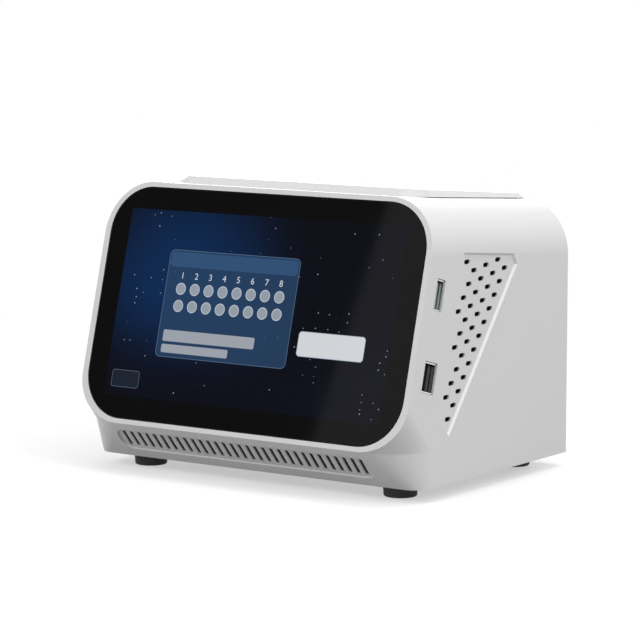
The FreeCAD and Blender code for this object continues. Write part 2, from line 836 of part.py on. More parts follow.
keep("base_screws", grouped("base_screw_group", [
    panScrew(f"base_screw{n}", (x, y, s.footHeight), s.baseThickness + 7) for n, (x, y) in enumerate(baseScrewPlaces)
]))
footRecess = 3.6
feet = []
for n, (x, y) in enumerate(footPlaces):
    foot = cone(f"foot{n}", s.footRadius - 0.5, s.footRadius, s.footHeight, (x, y, 0))
    recess = rod(f"foot_recess{n}", s.screwHeadRadius + 0.5, footRecess + 1, (x, y, -1))
    bore = rod(f"foot_bore{n}", screwHole, s.footHeight + 2, (x, y, -1))
    feet.append(less(f"foot_cut{n}", foot, [recess, bore]))
keep("rubber_feet", grouped("foot_group", feet))
keep("foot_screws", grouped("foot_screw_group", [
    panScrew(f"foot_screw{n}", (x, y, footRecess), s.footHeight - footRecess + s.baseThickness + 2.4)
    for n, (x, y) in enumerate(footPlaces)
]))
nutHeight = 2.4


def hexNuts(name, places, low):
    """Hexagon nuts standing at one height, each with its bore."""
    nuts = []
    for n, (x, y) in enumerate(places):
        nut = doc.addObject("Part::Prism", f"{name}{n}")
        nut.Polygon = 6
        bind(nut, "Circumradius", s.screwRadius * 2 + 0.1)
        nut.Height = nutHeight
        place(nut, (x, y, low))
        nuts.append(less(f"{name}_cut{n}", nut, [rod(f"{name}_bore{n}", s.screwRadius + 0.02, nutHeight + 2, (x, y, low - 1))]))
    return grouped(f"{name}_group", nuts)


keep("foot_nuts", hexNuts("foot_nut", footPlaces, baseTop))
soleTop = baseTop + s.frameSheet
keep("frame_nuts", hexNuts("frame_nut", frameScrewPlaces, soleTop))
keep("frame_screws", grouped("frame_screw_group", [
    panScrew(f"frame_screw{n}", (x, y, s.footHeight), s.baseThickness + s.frameSheet + nutHeight)
    for n, (x, y) in enumerate(frameScrewPlaces)
]))

# touch screen stack, from the front to the back
keep("touch_glass", plate(
    "glass_sheet", s.glassWidth, s.glassHeight, s.glassRadius, s.glassThickness,
    onScreen(0, asSize(0), -s.glassThickness), angle=screenTurn,
))
tapeBack = -s.glassThickness - s.tapeThickness
tapeOuter = plate("tape_outer", s.glassWidth - 1, s.glassHeight - 1, s.glassRadius - 0.5, s.tapeThickness,
                  onScreen(0, asSize(0), tapeBack), angle=screenTurn)
tapeInner = plate("tape_inner", s.screenWidth + 1.6, s.screenHeight + 1.6, 2.0, s.tapeThickness + 2,
                  onScreen(0, asSize(0), tapeBack - 1), angle=screenTurn)
keep("glass_tape", less("tape_frame", tapeOuter, [tapeInner]))
screenBack = tapeBack - s.screenThickness + s.tapeThickness
keep("lcd_panel", plate("lcd_body", s.screenWidth, s.screenHeight, 1.0, s.screenThickness,
                        onScreen(0, asSize(0), screenBack), angle=screenTurn))
bracketBack = screenBack - s.bracketThickness - s.fitGap
displayScrewX = s.screenWidth / 2 + 3.0
displayScrewUp = 34.0
displayPlaces = [(i * displayScrewX, j * displayScrewUp) for i, j in corners]
bracketSheet = plate("bracket_sheet", displayScrewX * 2 + 5, 78.0, 2.0, s.bracketThickness,
                     onScreen(0, asSize(0), bracketBack), angle=screenTurn)
bracketWindow = plate("bracket_window", 90.0, 40.0, 4.0, s.bracketThickness + 2,
                      onScreen(0, asSize(0), bracketBack - 1), angle=screenTurn)
bracketCut = less("bracket_cut", bracketSheet, [bracketWindow])
keep("display_bracket", boredPlate("bracket_bored", bracketCut, screwHole,
                                   [onScreen(x, asSize(u), bracketBack - 1) for x, u in displayPlaces],
                                   s.bracketThickness + 2, angle=screenTurn))
postRadius = 2.6
postLength = -bracketBack - s.bracketThickness - s.wall


def tiltedRod(name, radius, length, at):
    """A cylinder that points out of the screen."""
    thing = doc.addObject("Part::Cylinder", name)
    bind(thing, "Radius", radius)
    bind(thing, "Height", length)
    return place(thing, at, angle=screenTurn)


screwBack = bracketBack - 1.6
keep("display_screws", grouped("display_screw_group", [
    fused(f"display_screw{n}", [
        tiltedRod(f"display_head{n}", 2.4, 1.6, onScreen(x, asSize(u), screwBack)),
        tiltedRod(f"display_shank{n}", s.screwRadius, s.bracketThickness + postLength,
                  onScreen(x, asSize(u), bracketBack)),
    ]) for n, (x, u) in enumerate(displayPlaces)
]))
posts = []
for n, (x, u) in enumerate(displayPlaces):
    post = tiltedRod(f"post{n}", postRadius, postLength - s.fitGap, onScreen(x, asSize(u), bracketBack + s.bracketThickness))
    bore = tiltedRod(f"post_bore{n}", s.screwRadius + s.runningGap, postLength + 2,
                     onScreen(x, asSize(u), bracketBack + s.bracketThickness - 1))
    posts.append(less(f"post_cut{n}", post, [bore]))
keep("display_spacers", grouped("display_spacer_group", posts))
boardBack = bracketBack - s.boardStandoff - s.boardThickness
boardSheet = plate("board_sheet", s.mainBoardWidth, s.mainBoardHeight, 2.0, s.boardThickness,
                   onScreen(0, asSize(0), boardBack), angle=screenTurn)
boardPlaces = [(i * (s.mainBoardWidth / 2 - 5), j * 30.0) for i, j in corners]
keep("main_board", boredPlate("board_bored", boardSheet, screwHole,
                              [onScreen(x, asSize(u), boardBack - 1) for x, u in boardPlaces],
                              s.boardThickness + 2, angle=screenTurn))
spacers = []
for n, (x, u) in enumerate(boardPlaces):
    spacer = tiltedRod(f"board_spacer{n}", 2.8, s.boardStandoff, onScreen(x, asSize(u), bracketBack - s.boardStandoff))
    bore = tiltedRod(f"spacer_bore{n}", s.screwRadius + s.runningGap, s.boardStandoff + 2,
                     onScreen(x, asSize(u), bracketBack - s.boardStandoff - 1))
    spacers.append(less(f"spacer_cut{n}", spacer, [bore]))
keep("board_spacers", grouped("board_spacer_group", spacers))
keep("board_screws", grouped("board_screw_group", [
    fused(f"board_screw{n}", [
        tiltedRod(f"board_head{n}", 2.4, 1.6, onScreen(x, asSize(u), boardBack - 1.6)),
        tiltedRod(f"board_shank{n}", s.screwRadius, s.boardThickness + s.boardStandoff,
                  onScreen(x, asSize(u), boardBack)),
    ]) for n, (x, u) in enumerate(boardPlaces)
]))


def boardBlocks(name, places):
    """Blocks on the back of the main board: corner and size as shares of the board, and height."""
    wide, tall = s.mainBoardWidth, s.mainBoardHeight
    return grouped(f"{name}_group", [
        sized(f"{name}{n}", onScreen(wide * x, tall * u, boardBack - height), (wide * w, tall * h, height), angle=screenTurn)
        for n, (x, u, w, h, height) in enumerate(places)
    ])


keep("board_chips", boardBlocks("chip", [(-0.21, 0.08, 0.164, 0.28, 2.0), (0.09, 0.13, 0.105, 0.256, 1.4),
                                         (0.283, -0.18, 0.12, 0.154, 4.0), (-0.075, -0.31, 0.224, 0.103, 6.0)]))
keep("board_connectors", boardBlocks("connector", [(-0.45, -0.13, 0.037, 0.28, 5.0), (0.31, 0.1, 0.134, 0.064, 5.0),
                                                   (-0.03, 0.39, 0.18, 0.064, 5.0)]))

# side ports on their own small board
portFace = s.bodyWidth / 2 - s.portSetback
portBoardX = portFace - s.portDepth - s.boardThickness


def alongSide(name, low, size, y, z):
    """A box beside the right wall, in line with the screen: size is X, across and along it.
    low is how far its X starts; y and z are the middle of its other two sides."""
    length, across = size[2], size[1]
    at = (low, y - length / 2 * sine(s.frontTilt) - across / 2 * cosine(s.frontTilt),
          z - length / 2 * cosine(s.frontTilt) + across / 2 * sine(s.frontTilt))
    return sized(name, at, size, angle=-s.frontTilt)


portMiddleY = (usbY + videoY) / 2
portMiddleZ = (s.usbZ + s.videoZ) / 2
portBoardWidth = 9.6
portBoardLength = 58.0
keep("port_board", alongSide("port_sheet", portBoardX, (s.boardThickness, portBoardWidth, portBoardLength),
                             portMiddleY + 0.5 * cosine(s.frontTilt), portMiddleZ - 0.5 * sine(s.frontTilt)))
shellSheet = 0.6


def receptacle(name, y, z, length, height):
    """A socket's sheet-metal shell, open to the right."""
    body = alongSide(f"{name}_body", portFace - s.portDepth, (s.portDepth, height, length), y, z)
    hole = alongSide(f"{name}_hole", portFace - s.portDepth + 2, (s.portDepth, height - shellSheet * 2,
                                                                length - shellSheet * 2), y, z)
    return less(name, body, [hole])


keep("usb_shell", receptacle("usb_receptacle", usbY, s.usbZ, s.usbLength, s.usbHeight))
keep("video_shell", receptacle("video_receptacle", videoY, s.videoZ, s.videoLength, s.videoHeight))
tongueStart = portFace - s.portDepth + 2
tongueDepth = s.portDepth - 4
keep("usb_tongue", alongSide("usb_blade", tongueStart, (tongueDepth, 2.0, s.usbLength - 2.4),
                             usbY + 2.6 * cosine(s.frontTilt), s.usbZ - 2.6 * sine(s.frontTilt)))
keep("video_tongue", alongSide("video_blade", tongueStart, (tongueDepth, 1.2, s.videoLength - 2.4),
                               videoY + 1.2 * cosine(s.frontTilt), s.videoZ - 1.2 * sine(s.frontTilt)))

# rear panel with its inlet, switch and fan
panelFront = rearY - s.rearPanelThickness
rearSheet = plate("rear_sheet", s.rearPanelWidth, s.rearPanelHeight, s.rearPanelRadius, s.rearPanelThickness,
                  (0, rearY, s.rearPanelZ), angle=90)
panelDepth = s.rearPanelThickness + 2
inletHole = block("inlet_hole", (s.inletX - s.inletWidth / 2, panelFront - 1, s.inletZ - s.inletHeight / 2),
                  (s.inletX + s.inletWidth / 2, rearY + 1, s.inletZ + s.inletHeight / 2))
switchHole = block("switch_hole", (s.inletX - s.switchWidth / 2, panelFront - 1, s.switchZ - s.switchHeight / 2),
                   (s.inletX + s.switchWidth / 2, rearY + 1, s.switchZ + s.switchHeight / 2))
panelCuts = [inletHole, switchHole]
panelCuts += [rod(f"panel_hole{n}", screwHole, panelDepth, (x, panelFront - 1, z), "y")
              for n, (x, z) in enumerate(panelScrewPlaces)]
fanScrew = s.fanSize / 2 - 5
fanPlaces = [(i * fanScrew, s.fanZ + j * fanScrew) for i, j in corners]
panelCuts += [rod(f"fan_hole{n}", screwHole, panelDepth, (x, panelFront - 1, z), "y")
              for n, (x, z) in enumerate(fanPlaces)]


def grilleRings():
    """Ring slots of the fan guard, left joined by four webs."""
    ringWidth, webWidth = 2.6, 3.0
    radii = [s.fanBore.number - 3.0 - i * 5.0 for i in range(5)]
    length = panelDepth.number
    low = FreeCAD.Vector(0, panelFront.number - 1, s.fanZ.number)
    rings = [Part.makeCylinder(r, length, low, FreeCAD.Vector(0, 1, 0)).cut(
        Part.makeCylinder(r - ringWidth, length, low, FreeCAD.Vector(0, 1, 0))) for r in radii]
    slots = Part.makeCompound(rings)
    for angle in (45, 135):
        web = Part.makeBox(s.fanSize.number * 2, length, webWidth,
                           low + FreeCAD.Vector(-s.fanSize.number, 0, -webWidth / 2))
        web.rotate(low, FreeCAD.Vector(0, 1, 0), angle)
        slots = slots.cut(web)
    return solid("fan_guard_slots", slots)


keep("rear_panel", less("rear_panel_guard", less("rear_panel_cut", rearSheet, panelCuts), [grilleRings()]))
keep("panel_screws", grouped("panel_screw_group", [
    fused(f"panel_screw{n}", [
        rod(f"panel_head{n}", s.screwHeadRadius, 1.2, (x, rearY, z), "y"),
        rod(f"panel_shank{n}", s.screwRadius, s.wall, (x, innerRearY, z), "y"),
    ]) for n, (x, z) in enumerate(panelScrewPlaces)
]))
inletFlange = 1.4
inletBody = block("inlet_body", (s.inletX - s.inletWidth / 2 + s.fitGap, rearY - s.inletDepth, s.inletZ - s.inletHeight / 2 + s.fitGap),
                  (s.inletX + s.inletWidth / 2 - s.fitGap, rearY, s.inletZ + s.inletHeight / 2 - s.fitGap))
inletRim = block("inlet_rim", (s.inletX - s.inletWidth / 2 - 2, rearY, s.inletZ - s.inletHeight / 2 - 2),
                 (s.inletX + s.inletWidth / 2 + 2, rearY + inletFlange, s.inletZ + s.inletHeight / 2 + 2))
inletCavity = block("inlet_cavity", (s.inletX - 12, rearY - 16, s.inletZ - 8.25), (s.inletX + 12, rearY + 3, s.inletZ + 8.25))
keep("power_inlet", less("inlet_cut", fused("inlet_solid", [inletBody, inletRim]), [inletCavity]))
bladeShape = (2.0, 14.0, 4.0)
keep("inlet_blades", grouped("blade_group", [
    sized(f"blade{n}", (s.inletX + x - bladeShape[0] / 2, rearY - 16, s.inletZ + z - bladeShape[2] / 2), bladeShape)
    for n, (x, z) in enumerate(((-7.0, -2.0), (0.0, 2.0), (7.0, -2.0)))
]))
rockerRadius = 9.0
rockerSpan = 15.2
switchBody = block("switch_body", (s.inletX - s.switchWidth / 2 + s.fitGap, rearY - s.switchDepth, s.switchZ - s.switchHeight / 2 + s.fitGap),
                   (s.inletX + s.switchWidth / 2 - s.fitGap, rearY, s.switchZ + s.switchHeight / 2 - s.fitGap))
switchRim = block("switch_rim", (s.inletX - s.switchWidth / 2 - 1.5, rearY, s.switchZ - s.switchHeight / 2 - 1.5),
                  (s.inletX + s.switchWidth / 2 + 1.5, rearY + inletFlange, s.switchZ + s.switchHeight / 2 + 1.5))
switchCavity = block("switch_cavity", (s.inletX - 4.8, rearY - 9.5, s.switchZ - 8.6), (s.inletX + 4.8, rearY + 3, s.switchZ + 8.6))
rockerAxisY = rearY - 4.2
switchPivot = rod("switch_pivot", 1.0, 11.0, (s.inletX - 5.5, rockerAxisY, s.switchZ), "x")
keep("switch_frame", fused("switch_built", [
    less("switch_cut", fused("switch_solid", [switchBody, switchRim]), [switchCavity]), switchPivot]))


def rockerSolid():
    """The rocker: a shallow V across its face, round below, with a bore for its pivot."""
    half, top = rockerSpan / 2, 4.4
    face = [(-half, 1.0), (-half, top), (0, top - 1.4), (half, top), (half, 1.0), (2.4, -2.6), (-2.4, -2.6)]
    points = [FreeCAD.Vector(0, y, z) for z, y in face]
    body = Part.Face(Part.makePolygon(points + points[:1])).extrude(FreeCAD.Vector(9.0, 0, 0))
    body.translate(FreeCAD.Vector(-4.5, 0, 0))
    bore = Part.makeCylinder(1.0 + s.runningGap.number, 20, FreeCAD.Vector(-10, 0, 0), FreeCAD.Vector(1, 0, 0))
    return body.cut(bore)


rocker = solid("rocker_solid", rockerSolid())
keep("power_rocker", place(rocker, (s.inletX, rockerAxisY, s.switchZ), angle=s.rockerTilt))

# fan
fanRearY = panelFront - s.fitGap
fanFrontY = fanRearY - s.fanDepth
fanBox = block("fan_box", (-s.fanSize / 2, fanFrontY, s.fanZ - s.fanSize / 2), (s.fanSize / 2, fanRearY, s.fanZ + s.fanSize / 2))
fanCuts = [rod("fan_bore", s.fanBore, s.fanDepth + 2, (0, fanFrontY - 1, s.fanZ), "y")]
fanCuts += [rod(f"fan_mount{n}", screwHole, s.fanDepth + 2, (x, fanFrontY - 1, z), "y") for n, (x, z) in enumerate(fanPlaces)]
armDepth = 2.0
arms = [block("fan_arm_flat", (-s.fanBore - 0.5, fanFrontY, s.fanZ - 1.5), (s.fanBore + 0.5, fanFrontY + armDepth, s.fanZ + 1.5)),
        block("fan_arm_tall", (-1.5, fanFrontY, s.fanZ - s.fanBore - 0.5), (1.5, fanFrontY + armDepth, s.fanZ + s.fanBore + 0.5)),
        rod("fan_motor", s.fanHub - 1, 3.0, (0, fanFrontY, s.fanZ), "y"),
        rod("fan_spindle", 1.5, s.fanDepth - 6, (0, fanFrontY, s.fanZ), "y")]
keep("fan_frame", fused("fan_frame_built", [less("fan_frame_cut", fanBox, fanCuts)] + arms))


def fanRotor():
    """The fan's hub and blades; each blade is a thin plate turned across the air's way."""
    depth = s.fanDepth.number - 5.0
    low = fanFrontY.number + 3.4
    axis = FreeCAD.Vector(0, 1, 0)
    centre = FreeCAD.Vector(0, low, s.fanZ.number)
    hub = Part.makeCylinder(s.fanHub.number, depth, centre, axis)
    tips = Part.makeCylinder(s.fanBore.number - 0.8, depth, centre, axis)
    span = s.fanBore.number
    blades = []
    count = int(s.fanBlades.number)
    for i in range(count):
        blade = Part.makeBox(13.0, 1.4, span, FreeCAD.Vector(-6.5, -0.7, 0))
        blade.rotate(FreeCAD.Vector(0, 0, 0), FreeCAD.Vector(0, 0, 1), 42)
        blade.translate(centre + FreeCAD.Vector(0, depth / 2, 0))
        blade.rotate(centre, axis, i * 360.0 / count)
        blades.append(blade.common(tips))
    rotor = hub.fuse(blades)
    bore = Part.makeCylinder(1.5 + s.runningGap.number, s.fanDepth.number - 6 - 3.4 + 0.4, centre, axis)
    return rotor.cut(bore)


keep("fan_rotor", solid("fan_rotor_solid", fanRotor()))
keep("fan_screws", grouped("fan_screw_group", [
    fused(f"fan_screw{n}", [
        rod(f"fan_head{n}", s.screwHeadRadius, 1.2, (x, rearY, z), "y"),
        rod(f"fan_shank{n}", s.screwRadius, 9.0, (x, rearY - 9.0, z), "y"),
    ]) for n, (x, z) in enumerate(fanPlaces)
]))

# frame that carries the block, its heat sink and the scanning optics
frameLowZ = baseTop
sinkTop = s.blockTop - s.blockHeight - s.coolerThickness - s.fitGap * 2
sinkY = blockY
frameTop = sinkTop
opticsPlateZ = s.opticsZ - s.carriageHeight / 2 - 4.0
earTop = s.linerFloor - s.fitGap
sinkScrewSpread = 15.0
sinkScrewZ = sinkTop - s.sinkBase / 2
frames = []
for side in (-1, 1):
    inside = side * s.frameSpread
    outside = side * (s.frameSpread + s.frameSheet)
    flange = side * (s.frameSpread + s.frameFlange)
    low, high = sorted((inside, outside), key=lambda v: v.number)
    flangeLow, flangeHigh = sorted((inside, flange), key=lambda v: v.number)
    cheek = block(f"cheek{side}", (low, frameFrontY, frameLowZ), (high, frameRearY, frameTop))
    riser = block(f"riser{side}", (low, frameFrontY, frameTop), (high, opticsY + s.carriageDepth / 2, earTop))
    sole = block(f"sole{side}", (flangeLow, frameFrontY, frameLowZ), (flangeHigh, frameRearY, frameLowZ + s.frameSheet))
    ear = block(f"ear{side}", (flangeLow, frameFrontY + 6, earTop - s.earSheet), (flangeHigh, opticsY + s.carriageDepth / 2, earTop))
    cheekCuts = [rod(f"sole_hole{side}{n}", screwHole, s.frameSheet + 2, (side * frameScrewX, y, frameLowZ - 1))
                 for n, y in enumerate((frameFrontY + 6, frameRearY - 6))]
    cheekCuts += [rod(f"sink_hole{side}{n}", screwHole, s.frameSheet + 4, (low - 2, sinkY + dy * sinkScrewSpread, sinkScrewZ), "x")
                  for n, dy in enumerate((-1, 1))]
    cheekCuts.append(rod(f"ear_hole{side}", s.screwRadius + 0.02, s.earSheet + 2, (side * frameScrewX, opticsY, earTop - s.earSheet - 1)))
    frames.append(less(f"cheek_built{side}", fused(f"cheek_solid{side}", [cheek, riser, sole, ear]), cheekCuts))
motorHole = rod("motor_hole", 5.5, s.frameSheet + 4, (-s.frameSpread - s.frameSheet - 2, opticsY, s.opticsZ), "x")
railHoles = [rod(f"rail_hole{n}", s.railRadius + 0.02, s.frameSpread * 2 + s.frameSheet * 2 + 4,
                 (-s.frameSpread - s.frameSheet - 2, opticsY + dy * s.railSpread, s.opticsZ), "x")
             for n, dy in enumerate((-1, 1))]
bearingHole = rod("bearing_hole", 4.0, s.frameSheet + 4, (s.frameSpread - 2, opticsY, s.opticsZ), "x")
motorScrewPlaces = [(opticsY + i * s.motorScrewPlace, s.opticsZ + j * s.motorScrewPlace) for i, j in corners]
motorScrewHoles = [rod(f"motor_screw_hole{n}", s.motorScrewRadius + 0.1, s.frameSheet + 4, (-s.frameSpread - s.frameSheet - 2, y, z), "x")
                   for n, (y, z) in enumerate(motorScrewPlaces)]
keep("left_frame", less("left_frame_cut", frames[0], [motorHole] + motorScrewHoles + [
    rod(f"left_rail_hole{n}", s.railRadius + 0.02, s.frameSheet + 4,
        (-s.frameSpread - s.frameSheet - 2, opticsY + dy * s.railSpread, s.opticsZ), "x") for n, dy in enumerate((-1, 1))]))
keep("right_frame", less("right_frame_cut", frames[1], [bearingHole] + railHoles))
keep("rail_rods", grouped("rail_group", [
    rod(f"rail{n}", s.railRadius, s.frameSpread * 2 + s.frameSheet * 2,
        (-s.frameSpread - s.frameSheet, opticsY + dy * s.railSpread, s.opticsZ), "x") for n, dy in enumerate((-1, 1))
]))
bearingLength = 4.0
keep("screw_bearing", less("bearing_cut", rod("bearing_body", 4.0 - 0.02, bearingLength, (s.frameSpread, opticsY, s.opticsZ), "x"),
                           [rod("bearing_bore", s.screwThread + s.runningGap, bearingLength + 2, (s.frameSpread - 1, opticsY, s.opticsZ), "x")]))
screwStart = -s.frameSpread - s.frameSheet - 1.0
keep("lead_screw", rod("screw_body", s.screwThread, s.frameSpread * 2 + s.frameSheet + 4.0, (screwStart + 1.2, opticsY, s.opticsZ), "x"))
motorFace = -s.frameSpread - s.frameSheet
motorBox = block("motor_box", (motorFace - s.motorLength, opticsY - s.motorSize / 2, s.opticsZ - s.motorSize / 2),
                 (motorFace, opticsY + s.motorSize / 2, s.opticsZ + s.motorSize / 2))
keep("stepper_motor", less("motor_cut", fused("motor_solid", [motorBox, rod("motor_boss", 5.4, s.frameSheet - 0.2, (motorFace, opticsY, s.opticsZ), "x")]),
                           [rod("motor_bore", s.screwThread + s.runningGap, 12.0, (motorFace - 6.0, opticsY, s.opticsZ), "x")]
                           + [rod(f"motor_thread{n}", s.motorScrewRadius + 0.02, 6.0, (motorFace - 5.5, y, z), "x")
                              for n, (y, z) in enumerate(motorScrewPlaces)]))
keep("motor_screws", grouped("motor_screw_group", [
    fused(f"motor_screw{n}", [
        rod(f"motor_head{n}", s.motorScrewRadius * 1.9, 1.2, (-s.frameSpread, y, z), "x"),
        rod(f"motor_shank{n}", s.motorScrewRadius, s.frameSheet + 5, (motorFace - 5, y, z), "x"),
    ]) for n, (y, z) in enumerate(motorScrewPlaces)
]))
carriageX = -s.scanTravel / 2
carriageBox = block("carriage_box", (carriageX - s.carriageWidth / 2, opticsY - s.carriageDepth / 2, s.opticsZ - s.carriageHeight / 2),
                    (carriageX + s.carriageWidth / 2, opticsY + s.carriageDepth / 2, s.opticsZ + s.carriageHeight / 2))
lensTube = rod("lens_tube", 5.0, 4.0, (carriageX, opticsY + s.carriageDepth / 2, s.opticsZ), "y")
carriageBores = [rod("carriage_nut", s.screwThread + s.runningGap, s.carriageWidth + 2, (carriageX - s.carriageWidth / 2 - 1, opticsY, s.opticsZ), "x")]
carriageBores += [rod(f"carriage_bush{n}", s.railRadius + s.runningGap, s.carriageWidth + 2,
                      (carriageX - s.carriageWidth / 2 - 1, opticsY + dy * s.railSpread, s.opticsZ), "x") for n, dy in enumerate((-1, 1))]
lensSeat = rod("lens_seat", 4.0, 3.0, (carriageX, opticsY + s.carriageDepth / 2 + 1.6, s.opticsZ), "y")
keep("optics_carriage", less("carriage_cut", fused("carriage_solid", [carriageBox, lensTube]), carriageBores + [lensSeat]))
keep("optics_lens", rod("lens_body", 4.0 - 0.05, 2.0, (carriageX, opticsY + s.carriageDepth / 2 + 1.6, s.opticsZ), "y"))
keep("optics_plate", block("optics_sheet", (-s.frameSpread, frameFrontY + 2, opticsPlateZ), (s.frameSpread, blockY - s.sinkLength / 2 - 1, opticsPlateZ + 2)))


# heat sink, coolers and sample block
clampPlaces = [(i * (s.blockWidth / 2 - 4), blockY + j * 10) for i, j in corners]
clampDepth = 8.0
sinkScrewLength = 8.0
def heatSink():
    """A base plate with a row of thin fins below it, running front to back."""
    low = sinkTop.number - s.sinkHeight.number
    width, length = s.sinkWidth.number, s.sinkLength.number
    underside = sinkTop.number - s.sinkBase.number
    base = Part.makeBox(s.frameSpread.number * 2, length, s.sinkBase.number,
                        FreeCAD.Vector(-s.frameSpread.number, sinkY.number - length / 2, underside))
    count = int(s.sinkFins.number)
    step = (width - s.finThickness.number) / (count - 1)
    fins = [Part.makeBox(s.finThickness.number, length, s.sinkHeight.number - s.sinkBase.number,
                         FreeCAD.Vector(-width / 2 + i * step, sinkY.number - length / 2, low)) for i in range(count)]
    sink = base.fuse(fins)
    up = FreeCAD.Vector(0, 0, 1)
    drills = []
    for x, y in clampPlaces:
        at = FreeCAD.Vector(x.number, y.number, underside)
        drills.append(Part.makeCylinder(screwHole.number, s.sinkBase.number + 2, at - up, up))
        drills.append(Part.makeCylinder(s.screwHeadRadius.number + 0.6, underside - low + 1, at, -up))
    for side in (-1, 1):
        for dy in (-1, 1):
            start = FreeCAD.Vector(side * (s.frameSpread.number + 1), sinkY.number + dy * sinkScrewSpread, sinkScrewZ.number)
            drills.append(Part.makeCylinder(s.screwRadius.number + 0.02, sinkScrewLength + 1.5, start, FreeCAD.Vector(-side, 0, 0)))
    return sink.cut(drills)


keep("heat_sink", solid("heat_sink_solid", heatSink()))
keep("peltier_coolers", grouped("cooler_group", [
    sized(f"cooler{n}", (x - s.coolerSize / 2, blockY - s.coolerSize / 2, sinkTop + s.fitGap),
          (s.coolerSize, s.coolerSize, s.coolerThickness)) for n, x in enumerate((-16.0, 16.0))
]))


def sampleBlock():
    """An aluminium block with two rows of tapered wells."""
    top = s.blockTop.number
    width, length, height = s.blockWidth.number, s.blockLength.number, s.blockHeight.number
    body = Part.makeBox(width, length, height, FreeCAD.Vector(-width / 2, blockY.number - length / 2, top - height))
    columns = int(s.wellColumns.number)
    taper = s.wellDepth.number - s.wellStraight.number
    for row in (-0.5, 0.5):
        for column in range(columns):
            x = (column - (columns - 1) / 2) * s.wellPitch.number
            y = blockY.number + row * s.wellPitch.number
            straight = Part.makeCylinder(s.wellRadius.number, s.wellStraight.number + 1,
                                         FreeCAD.Vector(x, y, top - s.wellStraight.number))
            tip = Part.makeCone(s.wellTipRadius.number, s.wellRadius.number, taper,
                                FreeCAD.Vector(x, y, top - s.wellDepth.number))
            body = body.cut(straight.fuse(tip))
    threads = [Part.makeCylinder(s.screwRadius.number + 0.02, clampDepth + 1.5, FreeCAD.Vector(x.number, y.number, top - height - 1))
               for x, y in clampPlaces]
    return body.cut(threads)


keep("sample_block", solid("sample_block_solid", sampleBlock()))
sinkUnder = sinkTop - s.sinkBase
keep("clamp_screws", grouped("clamp_screw_group", [
    panScrew(f"clamp_screw{n}", (x, y, sinkUnder), s.blockTop - s.blockHeight + clampDepth - sinkUnder)
    for n, (x, y) in enumerate(clampPlaces)
]))
sinkScrews = []
for n, (i, j) in enumerate(corners):
    headX = (s.frameSpread + s.frameSheet) if i > 0 else -(s.frameSpread + s.frameSheet + 1.6)
    shankX = (s.frameSpread - sinkScrewLength) if i > 0 else -(s.frameSpread + s.frameSheet)
    y = sinkY + j * sinkScrewSpread
    sinkScrews.append(fused(f"sink_screw{n}", [
        rod(f"sink_head{n}", s.screwHeadRadius, 1.6, (headX, y, sinkScrewZ), "x"),
        rod(f"sink_shank{n}", s.screwRadius, s.frameSheet + sinkScrewLength, (shankX, y, sinkScrewZ), "x"),
    ]))
keep("sink_screws", grouped("sink_screw_group", sinkScrews))
sealLow = s.linerFloor - 2
sealOuter = plate("seal_outer", s.blockWidth + s.sealWidth * 2, s.blockLength + s.sealWidth * 2, 2.0, s.linerFloorThickness + 2,
                  (0, blockY, sealLow))
sealInner = block("seal_inner", (-s.blockWidth / 2, blockY - s.blockLength / 2, sealLow - 1),
                  (s.blockWidth / 2, blockY + s.blockLength / 2, sealLow + s.linerFloorThickness + 3))
keep("block_seal", less("seal_frame", sealOuter, [sealInner]))
linerLow = s.linerFloor
linerLength = innerRearY - s.fitGap - lidFrontY + s.lidGap + s.linerWall
linerY = innerRearY - s.fitGap - linerLength / 2
linerOuter = plate("liner_outer", s.lidWidth + s.lidGap * 2 + s.linerWall * 2, linerLength, 6.0, 60.0, (0, linerY, linerLow))
linerInner = plate("liner_inner", s.lidWidth + s.lidGap * 2, linerLength - s.linerWall * 2, 5.0, 60.0,
                   (0, linerY, linerLow + s.linerFloorThickness))
linerHole = plate("liner_hole", s.blockWidth + s.sealWidth * 2 + s.fitGap, s.blockLength + s.sealWidth * 2 + s.fitGap, 2.0,
                  s.linerFloorThickness + 2, (0, blockY, linerLow - 1))
linerOpen = less("liner_open", linerOuter, [linerInner, linerHole])
linerLimit = housingForm("liner_limit", s.wall + s.fitGap, 0)
linerTrimmed = common("liner_trimmed", [linerOpen, linerLimit])

# lid
hingeY = innerRearY - s.hingeRearGap - s.hingeKnuckleRadius
hingeZ = topZ(hingeY) - s.hingeDrop
lidDraft = arctangent(s.lidChamfer / s.lidRise)
hingeRelief = block("hinge_relief", (-s.lidWidth / 2 - s.lidGap, hingeY - 5, hingeZ - s.hingeKnuckleRadius - 1.5),
                    (s.lidWidth / 2 + s.lidGap, rearY, hingeZ + 10))
linerHoles = [rod(f"liner_screw_hole{side}", screwHole, s.linerFloorThickness + 2, (side * frameScrewX, opticsY, linerLow - 1)) for side in (-1, 1)]
keep("bay_liner", less("liner_relieved", linerTrimmed, [hingeRelief] + linerHoles))
linerTop = linerLow + s.linerFloorThickness
keep("liner_screws", grouped("liner_screw_group", [
    fused(f"liner_screw{side}", [
        rod(f"liner_head{side}", s.screwHeadRadius, 1.4, (side * frameScrewX, opticsY, linerTop)),
        rod(f"liner_shank{side}", s.screwRadius, s.linerFloorThickness + s.fitGap + s.earSheet,
            (side * frameScrewX, opticsY, earTop - s.earSheet)),
    ]) for side in (-1, 1)
]))
lidOutlineLength = s.lidLength + s.lidRadius * 2


